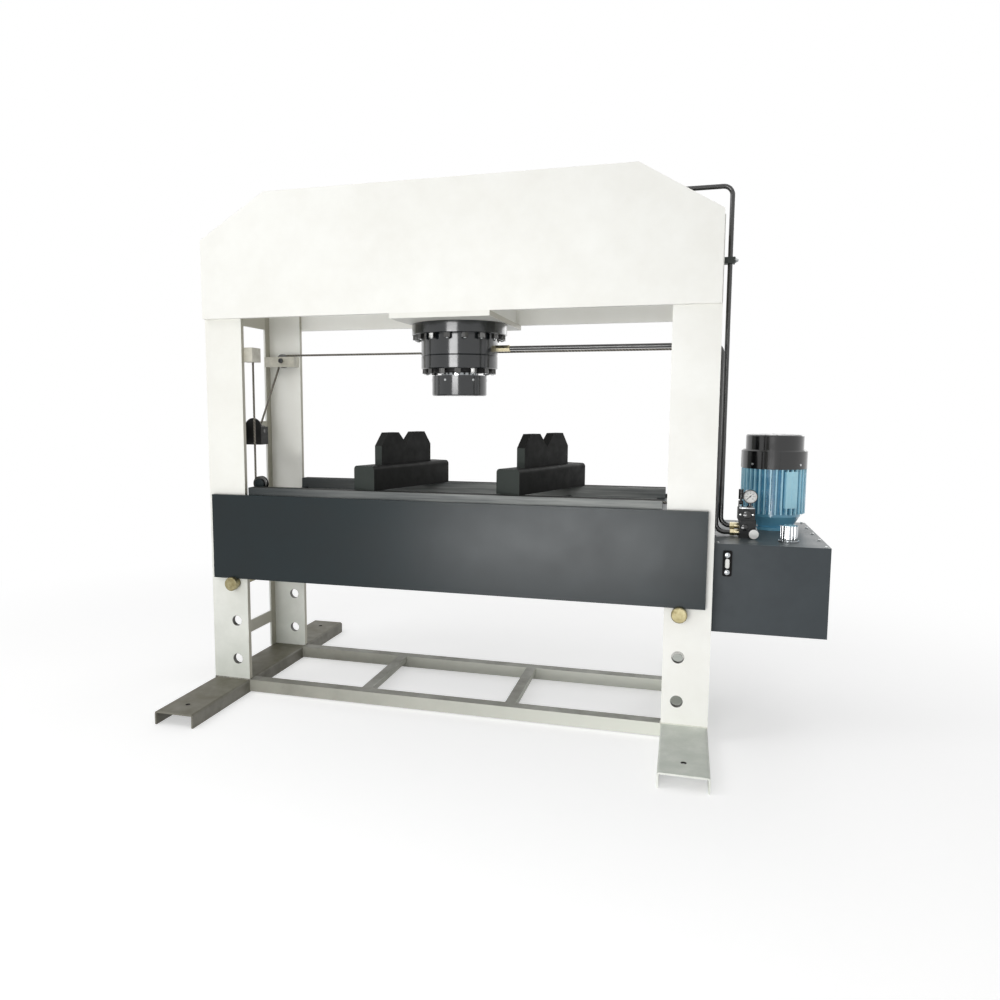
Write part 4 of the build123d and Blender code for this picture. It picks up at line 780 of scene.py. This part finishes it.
@dataclass
class TankTrim:
    """Fasteners on the tank, its level gauge and its filler."""

    lid_screw: Drum = (7.0 * MM, 4.5 * MM, 6, 0.5 * MM)
    lid_washer: Drum = (9.45 * MM, 1.2 * MM, 24, 0.0)
    inset: float = 18.0 * MM
    per_side: int = 5
    gauge_bolt: Drum = (9.0 * MM, 6.0 * MM, 6, 0.8 * MM)
    gauge_washer: Drum = (11.0 * MM, 1.5 * MM, 28, 0.0)
    gauge_spacing: float = 76.0 * MM
    filler_screw: Drum = (2.8 * MM, 2.0 * MM, 16, 0.4 * MM)
    filler_screws: int = 6
    filler_circle: float = 40.5 * MM
    filler_flange: float = 7.0 * MM

    def build(self) -> None:
        """Place the lid screws, gauge bolts and filler screws."""
        low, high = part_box("tank_lid")
        shaper = Shaper()
        for step in range(self.per_side):
            share = step / (self.per_side - 1)
            y = low[1] + self.inset + share * (high[1] - low[1] - 2 * self.inset)
            for x in (low[0] + self.inset, high[0] - self.inset):
                shaper.drum((x, y, high[2]), UP, *self.lid_washer)
                shaper.drum((x, y, high[2] + self.lid_washer[1]), UP, *self.lid_screw)
        shaper.piece("lid_screws", BRIGHT, FRAME_BODY, "bright_steel")
        self._gauge_bolts()
        self._filler_screws()

    def _gauge_bolts(self) -> None:
        """Place the two hollow bolts of the level gauge."""
        low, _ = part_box("sight_gauge")
        middle = middle_of("sight_gauge")
        shaper = Shaper()
        for sign in (-0.5, 0.5):
            z = middle.z + sign * self.gauge_spacing
            shaper.drum((middle.x, low[1], z), FRONT, *self.gauge_washer)
            shaper.drum((middle.x, low[1] - self.gauge_washer[1], z), FRONT, *self.gauge_bolt)
        shaper.piece("level_gauge_bolts", CHROME, FRAME_BODY, "hard_chrome")

    def _filler_screws(self) -> None:
        """Place the small screws of the filler's flange."""
        low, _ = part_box("filler_neck")
        middle = middle_of("filler_neck")
        middle.z = low[2] + self.filler_flange
        shaper = Shaper()
        for out in around(self.filler_screws):
            shaper.drum(middle + out * self.filler_circle, UP, *self.filler_screw)
        shaper.piece("filler_screws", BRIGHT, FRAME_BODY, "bright_steel")


@dataclass
class MotorTrim:
    """Bolts of the motor's bell and screws of its fan cover."""

    count: int = 4
    bell_circle: float = 109.0 * MM
    bell_flange: float = 14.0 * MM
    bell_bolt: Drum = (8.5 * MM, 8.0 * MM, 6, 0.6 * MM)
    cover_radius: float = 151.5 * MM
    cover_rise: float = 22.0 * MM
    cover_screw: Drum = (6.0 * MM, 3.0 * MM, 20, 0.6 * MM)

    def build(self) -> None:
        """Place the bell bolts and the cover screws."""
        bell_low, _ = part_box("motor_bell")
        cover_low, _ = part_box("fan_cover")
        middle = middle_of("motor_bell")
        foot = Vector((middle.x, middle.y, bell_low[2] + self.bell_flange))
        rim = Vector((middle.x, middle.y, cover_low[2] + self.cover_rise))
        shaper = Shaper()
        for out in around(self.count, 0.5):
            shaper.drum(foot + out * self.bell_circle, UP, *self.bell_bolt)
        for out in around(self.count, 0.5):
            shaper.drum(rim + out * self.cover_radius, out, *self.cover_screw)
        shaper.piece("motor_bolts", BRIGHT, FRAME_BODY, "bright_steel")


@dataclass
class GaugeTrim:
    """Scale of the pressure gauge: its ticks and plain numbers.

    A kind of tick has its inner end, as a share of the dial's radius, and its width.
    """

    numbers: tuple[str, ...] = ("0", "10", "20", "30", "40", "50", "60")
    per_number: int = 5
    sweep: float = 270.0
    first: float = 225.0
    dial_deep: float = 1.5 * MM
    long_tick: tuple[float, float] = (0.72, 0.9 * MM)
    short_tick: tuple[float, float] = (0.8, 0.5 * MM)
    tick_end_share: float = 0.9
    tick_thick: float = 0.2 * MM
    number_share: float = 0.54
    number_size: float = 7.0 * MM
    number_lift: float = 0.12 * MM
    number_thick: float = 0.05 * MM

    def build(self) -> None:
        """Draw the ticks and the numbers."""
        low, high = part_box("gauge_dial")
        centre = middle_of("gauge_dial")
        centre.y = high[1] - self.dial_deep
        reach = (high[0] - low[0]) / 2
        shaper = Shaper()
        count = (len(self.numbers) - 1) * self.per_number
        for index in range(count + 1):
            share, width = self.short_tick if index % self.per_number else self.long_tick
            self._tick(shaper, centre, self._angle(index / count), (reach * share, reach * self.tick_end_share), width)
        shaper.piece("dial_ticks", INK, FRAME_BODY, "needle_black")
        for index, word in enumerate(self.numbers):
            angle = self._angle(index / (len(self.numbers) - 1))
            out = Vector((math.cos(angle), 0.0, math.sin(angle)))
            self._number(f"dial_number_{index}", word, centre + out * (reach * self.number_share))

    def _angle(self, share: float) -> float:
        """Give the angle at a share of the scale."""
        return math.radians(self.first - self.sweep * share)

    def _tick(self, shaper: Shaper, centre: Vector, angle: float, ends: tuple[float, float], width: float) -> None:
        """Add one tick as a thin bar on the dial.

        Args:
            shaper: collects the ticks.
            centre: middle of the dial's face.
            angle: where on the scale.
            ends: distance of its two ends from the middle.
            width: its width.
        """
        inner, outer = ends
        place = Matrix.Translation((centre.x, centre.y - self.tick_thick / 2, centre.z))
        shift = Matrix.Translation(((inner + outer) / 2, 0.0, 0.0))
        size = Matrix.Diagonal((outer - inner, self.tick_thick, width, 1.0))
        bmesh.ops.create_cube(shaper.bm, size=1.0, matrix=place @ Matrix.Rotation(-angle, 4, "Y") @ shift @ size)

    def _number(self, name: str, word: str, spot: Vector) -> None:
        """Set one plain number on the dial.

        Args:
            name: the piece's name.
            word: the number.
            spot: its middle on the dial's face.
        """
        curve = bpy.data.curves.new(name, "FONT")
        curve.body = word
        curve.size = self.number_size
        curve.align_x = "CENTER"
        curve.align_y = "CENTER"
        curve.extrude = self.number_thick
        holder = bpy.data.objects.new(name, curve)
        bpy.context.scene.collection.objects.link(holder)
        bpy.context.view_layer.update()
        mesh = bpy.data.meshes.new_from_object(holder)
        bpy.data.objects.remove(holder)
        place = Matrix.Translation((spot.x, spot.y - self.number_lift, spot.z))
        mesh.transform(place @ Matrix.Rotation(math.radians(90), 4, "X"))
        piece = bpy.data.objects.new(name, mesh)
        bpy.context.scene.collection.objects.link(piece)
        mesh.materials.clear()
        mesh.materials.append(INK.build())
        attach(piece, FRAME_BODY)


@dataclass
class ValveTrim:
    """Screws, plugs and top plate of the valve, and the relief cap's ring.

    Places are measured from the low corner of the valve block's box, or from the control valve that stands on it.
    """

    width: float = 70.0 * MM
    depth: float = 100.0 * MM
    side_reach: float = 7.0 * MM
    control_shift: float = 36.0 * MM
    control_rise: float = 80.0 * MM
    control_height: float = 53.0 * MM
    control_setback: float = 5.0 * MM
    control_middle: float = 27.0 * MM
    screw: Drum = (4.5 * MM, 5.0 * MM, 20, 0.5 * MM)
    screw_spread: float = 27.0 * MM
    screw_front: float = 7.0 * MM
    screw_back: float = 12.0 * MM
    plug: Drum = (11.0 * MM, 6.0 * MM, 6, 0.6 * MM)
    plug_places: tuple[float, ...] = (28.0 * MM, 70.0 * MM)
    plug_rise: float = 35.0 * MM
    plate_low: tuple[float, float] = (-31.0 * MM, 1.0 * MM)
    plate_reach: float = 33.0 * MM
    plate_back: float = 8.0 * MM
    plate_thick: float = 6.0 * MM
    plate_edge: float = 1.0 * MM
    control_cartridge: Drum = (19.0 * MM, 11.0 * MM, 8, 1.0 * MM)
    control_offset: float = 2.0 * MM
    block_cartridge: Drum = (15.0 * MM, 9.0 * MM, 24, 1.0 * MM)
    block_place: tuple[float, float] = (28.0 * MM, 48.0 * MM)
    ring_half: float = 0.4 * MM
    ring_start: float = 0.5 * MM
    ring_end: float = 1.0 * MM
    ring_steps: int = 36

    def build(self) -> None:
        """Place the cap screws, plugs, plate, cartridges and ring."""
        low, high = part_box("valve_block")
        middle = low[0] + self.control_shift
        front = high[1] - self.depth
        control_front = front + self.control_setback
        foot = low[2] + self.control_rise
        top = foot + self.control_height
        level = foot + self.control_middle
        bright = Shaper()
        for x in (middle - self.screw_spread, middle + self.screw_spread):
            for y in (control_front + self.screw_front, high[1] - self.screw_back):
                bright.drum((x, y, top), UP, *self.screw)
            bright.drum((x, control_front, level), FRONT, *self.screw)
        side = low[0] + self.side_reach + self.width
        for y in self.plug_places:
            bright.drum((side, front + y, low[2] + self.plug_rise), RIGHT, *self.plug)
        bright.block((middle + self.plate_low[0], control_front + self.plate_low[1], top),
                     (middle + self.plate_reach, self.plate_back, top + self.plate_thick), self.plate_edge)
        bright.piece("valve_screws", BRIGHT, FRAME_BODY, "bright_steel")
        dark = Shaper()
        dark.drum((middle + self.control_offset, control_front, level), FRONT, *self.control_cartridge)
        dark.drum((low[0] + self.block_place[0], front, low[2] + self.block_place[1]), FRONT, *self.block_cartridge)
        dark.piece("valve_cartridges", BLACK, FRAME_BODY, "black_gloss")
        self._relief_ring()

    def _relief_ring(self) -> None:
        """Set a black grip ring on the relief cap."""
        low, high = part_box("relief_cap")
        centre = middle_of("relief_cap")
        centre.y = high[1]
        rim = (high[0] - low[0]) / 2
        deep = high[1] - low[1]
        half = self.ring_half
        outline = ((rim - half, self.ring_start), (rim + half, self.ring_start), (rim + half, deep - self.ring_end),
                   (rim - half, deep - half))
        ring = Shaper()
        ring.turned(outline + outline[:1], centre, FRONT, self.ring_steps)
        ring.piece("relief_rim", BLACK, "relief_cap", "black_gloss")


@dataclass
class ClampTrim:
    """Moulded shell and bolts of the clamp that holds the upper pipe."""

    reach: float = 59.0 * MM
    width: float = 46.0 * MM
    height: float = 26.0 * MM
    shell: float = 1.0 * MM
    shell_edge: float = 2.0 * MM
    pipe: float = 11.0 * MM
    bolt_spread: float = 15.0 * MM
    bolt_head: Drum = (8.0 * MM, 6.0 * MM, 6, 0.6 * MM)
    bolt_end: Drum = (4.0 * MM, 8.0 * MM, 16, 0.6 * MM)

    def build(self) -> None:
        """Close the shell over the clamp and set its two bolts."""
        _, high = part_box("side_brackets")
        pipe_low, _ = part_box("upper_pipe")
        middle = pipe_low[1] + self.pipe
        half = self.width / 2 + self.shell
        shell = Shaper()
        shell.block((high[0] - self.reach, middle - half, high[2] - self.height - self.shell),
                    (high[0] + self.shell, middle + half, high[2] + self.shell), self.shell_edge)
        shell.piece("clamp_shell", CLAMP, FRAME_BODY, "black_gloss")
        bolts = Shaper()
        x, z = high[0] + self.shell, high[2] - self.height / 2
        for y in (middle - self.bolt_spread, middle + self.bolt_spread):
            bolts.drum((x, y, z), RIGHT, *self.bolt_head)
            bolts.drum((x + self.bolt_head[1], y, z), RIGHT, *self.bolt_end)
        bolts.piece("clamp_bolts", BRIGHT, FRAME_BODY, "bright_steel")


@dataclass
class RopeTrim:
    """Axle bolts of the head sheaves, and stranded rope falls."""

    bolt: float = 14.0 * MM
    bolt_shape: Outline = ((0.0, 4.0), (0.45, 4.0), (0.5, 9.0), (0.85, 9.0), (1.0, 7.5), (1.0, -1.0), (0.0, -1.0))
    bolt_steps: int = 28
    bolt_lead: float = 17.0 * MM
    lay: float = 60.0 * MM
    smooth: float = 60.0
    falls: tuple[str, ...] = ("left_fall", "right_fall")

    def build(self) -> None:
        """Set the axle bolts and hang the falls."""
        self._axle_bolts()
        for name in self.falls:
            low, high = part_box(name)
            x, y = (low[0] + high[0]) / 2, (low[1] + high[1]) / 2
            shaper = Shaper()
            shaper.strands((x, y, low[2]), (x, y, high[2]), (high[0] - low[0]) / 2, self.lay)
            rope = shaper.piece(f"{name}_strands", ROPE, "", "wire_rope", self.smooth)
            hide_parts(name)
            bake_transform(rope)

    def _axle_bolts(self) -> None:
        """Set a black axle bolt in front of each sheave."""
        shaper = Shaper()
        for name in ("left_sheave", "right_sheave"):
            low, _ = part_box(name)
            spot = middle_of(name)
            spot.y = low[1] - self.bolt_lead
            shaper.turned(scaled(self.bolt_shape, self.bolt), spot, FRONT, self.bolt_steps)
        shaper.piece("sheave_axle_bolts", BLACK, FRAME_BODY, "black_gloss")


@dataclass
class Studio:
    """Floor, light and camera.

    A lamp has its place, its target, its width and height, and its power.
    A glow has its value for light that only falls on the object, and the one that shows.
    """

    eye: Point = (1.0895, -3.8632, 1.4560)
    forward: Point = (-0.2704, 0.9570, -0.1052)
    roll: float = 0.00235
    lens: float = 28.71
    shift: tuple[float, float] = (0.0412, -0.0075)
    lamps: tuple[tuple[Point, Point, tuple[float, float], float], ...] = (
        ((-0.2, -5.2, 2.0), (0.0, 0.0, 1.6), (2.2, 0.8), 55.0),
        ((0.0, -4.4, 0.24), (0.3, 0.0, 0.8), (2.4, 0.46), 50.0),
        ((-3.5, -2.5, 4.4), (0.0, 0.0, 1.0), (2.5, 2.5), 50.0),
        ((2.5, 4.5, 3.6), (0.2, 0.0, 1.2), (3.0, 3.0), 45.0),
    )
    sky: tuple[float, float] = (0.5, 1.0)
    near_glow: tuple[float, float] = (0.0, 0.42)
    far_glow: tuple[float, float] = (0.4, 1.0)
    floor_fade: tuple[float, float] = (1.8, 4.5)
    floor_reach: float = 40.0
    floor_grey: float = 0.78
    floor_roughness: float = 0.9
    floor_specular: float = 0.1
    sensor: float = 36.0
    far_clip: float = 200.0

    def build(self) -> None:
        """Set the view, world, lamps, floor and camera."""
        bpy.context.scene.view_settings.view_transform = "Standard"
        self._world()
        self._floor()
        for place, target, size, power in self.lamps:
            self._lamp(place, target, size, power)
        self._camera()

    @staticmethod
    def _seen(tree: bpy.types.NodeTree, glow: tuple[float, float]) -> Socket:
        """Give one value to rays that show the backdrop and another to the rest.

        Args:
            tree: node tree of the world or the floor.
            glow: value for the rest, and for camera, mirror and see-through rays.

        Returns:
            The socket that holds the value.
        """
        rays = add_node(tree, "ShaderNodeLightPath").outputs
        first = add_node(tree, "ShaderNodeMath", {"operation": "MAXIMUM"},
                         {0: rays["Is Camera Ray"], 1: rays["Is Glossy Ray"]})
        both = add_node(tree, "ShaderNodeMath", {"operation": "MAXIMUM"},
                        {0: first.outputs["Value"], 1: rays["Is Transmission Ray"]})
        level = add_node(tree, "ShaderNodeMapRange", {"To Min": glow[0], "To Max": glow[1]},
                         {"Value": both.outputs["Value"]})
        return level.outputs["Result"]

    def _world(self) -> None:
        """Make a pale sky that shows as white."""
        world = bpy.data.worlds.new("studio")
        bpy.context.scene.world = world
        world.use_nodes = True
        back = world.node_tree.nodes["Background"]
        back.inputs["Color"].default_value = WHITE_LIGHT
        world.node_tree.links.new(self._seen(world.node_tree, self.sky), back.inputs["Strength"])

    def _floor(self) -> None:
        """Lay a pale floor that keeps the shadow and runs out to white."""
        shaper = bmesh.new()
        bmesh.ops.create_grid(shaper, x_segments=1, y_segments=1, size=self.floor_reach)
        mesh = bpy.data.meshes.new("studio_floor")
        shaper.to_mesh(mesh)
        shaper.free()
        floor = bpy.data.objects.new("studio_floor", mesh)
        bpy.context.scene.collection.objects.link(floor)
        mesh.materials.append(self._floor_paint())

    def _floor_paint(self) -> bpy.types.Material:
        """Mix the floor's grey with a white that takes over far from the object.

        Returns:
            The floor's material.
        """
        material = bpy.data.materials.new("pale_floor")
        material.use_nodes = True
        tree = material.node_tree
        near = tree.nodes["Principled BSDF"]
        near.inputs["Base Color"].default_value = (self.floor_grey, self.floor_grey, self.floor_grey, 1.0)
        near.inputs["Roughness"].default_value = self.floor_roughness
        near.inputs["Specular IOR Level"].default_value = self.floor_specular
        near.inputs["Emission Color"].default_value = WHITE_LIGHT
        tree.links.new(self._seen(tree, self.near_glow), near.inputs["Emission Strength"])
        far = add_node(tree, "ShaderNodeEmission", {"Color": WHITE_LIGHT})
        tree.links.new(self._seen(tree, self.far_glow), far.inputs["Strength"])
        place = add_node(tree, "ShaderNodeTexCoord").outputs["Object"]
        reach = add_node(tree, "ShaderNodeVectorMath", {"operation": "LENGTH"}, {0: place})
        start, end = self.floor_fade
        share = add_node(tree, "ShaderNodeMapRange",
                         {"interpolation_type": "SMOOTHSTEP", "From Min": start, "From Max": end},
                         {"Value": reach.outputs["Value"]})
        mix = add_node(tree, "ShaderNodeMixShader",
                       links={0: share.outputs["Result"], 1: near.outputs["BSDF"], 2: far.outputs["Emission"]})
        tree.links.new(mix.outputs["Shader"], tree.nodes["Material Output"].inputs["Surface"])
        return material

    @staticmethod
    def _lamp(place: Point, target: Point, size: tuple[float, float], power: float) -> None:
        """Hang one soft rectangular lamp.

        Args:
            place: where it hangs.
            target: what it points at.
            size: its width and height.
            power: its power in watts.
        """
        lamp = bpy.data.lights.new("softbox", "AREA")
        lamp.shape = "RECTANGLE"
        lamp.size, lamp.size_y = size
        lamp.energy = power
        holder = bpy.data.objects.new("softbox", lamp)
        aim = Vector(target) - Vector(place)
        holder.matrix_world = Matrix.Translation(place) @ aim.to_track_quat("-Z", "Y").to_matrix().to_4x4()
        bpy.context.scene.collection.objects.link(holder)

    def _camera(self) -> None:
        """Stand the camera where the photograph was taken from."""
        lens = bpy.data.cameras.new("photo_view")
        lens.lens = self.lens
        lens.sensor_width = self.sensor
        lens.shift_x, lens.shift_y = self.shift
        lens.clip_end = self.far_clip
        camera = bpy.data.objects.new("photo_view", lens)
        turn = Vector(self.forward).to_track_quat("-Z", "Y").to_matrix().to_4x4()
        camera.matrix_world = Matrix.Translation(self.eye) @ turn @ Matrix.Rotation(self.roll, 4, "Z")
        bpy.context.scene.collection.objects.link(camera)
        bpy.context.scene.camera = camera


def dress_nodes(nodes: dict[str, bpy.types.Object]) -> None:
    """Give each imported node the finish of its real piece.

    Args:
        nodes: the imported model's objects by name.
    """
    for finish, names in NODE_FINISHES.items():
        material = finish.build()
        for name in names:
            for slot in nodes[name].material_slots:
                slot.material = material


def main() -> None:
    """Load the press, dress it and set the studio."""
    logging.basicConfig(level=logging.INFO, format="%(message)s")
    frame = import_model()
    dress_nodes(frame["nodes"])
    for part in (FrameWelds(), CylinderTrim(), TankTrim(), MotorTrim(), GaugeTrim(), ValveTrim(), ClampTrim(),
                 RopeTrim()):
        part.build()
    Studio().build()


if __name__ == "__main__":
    main()
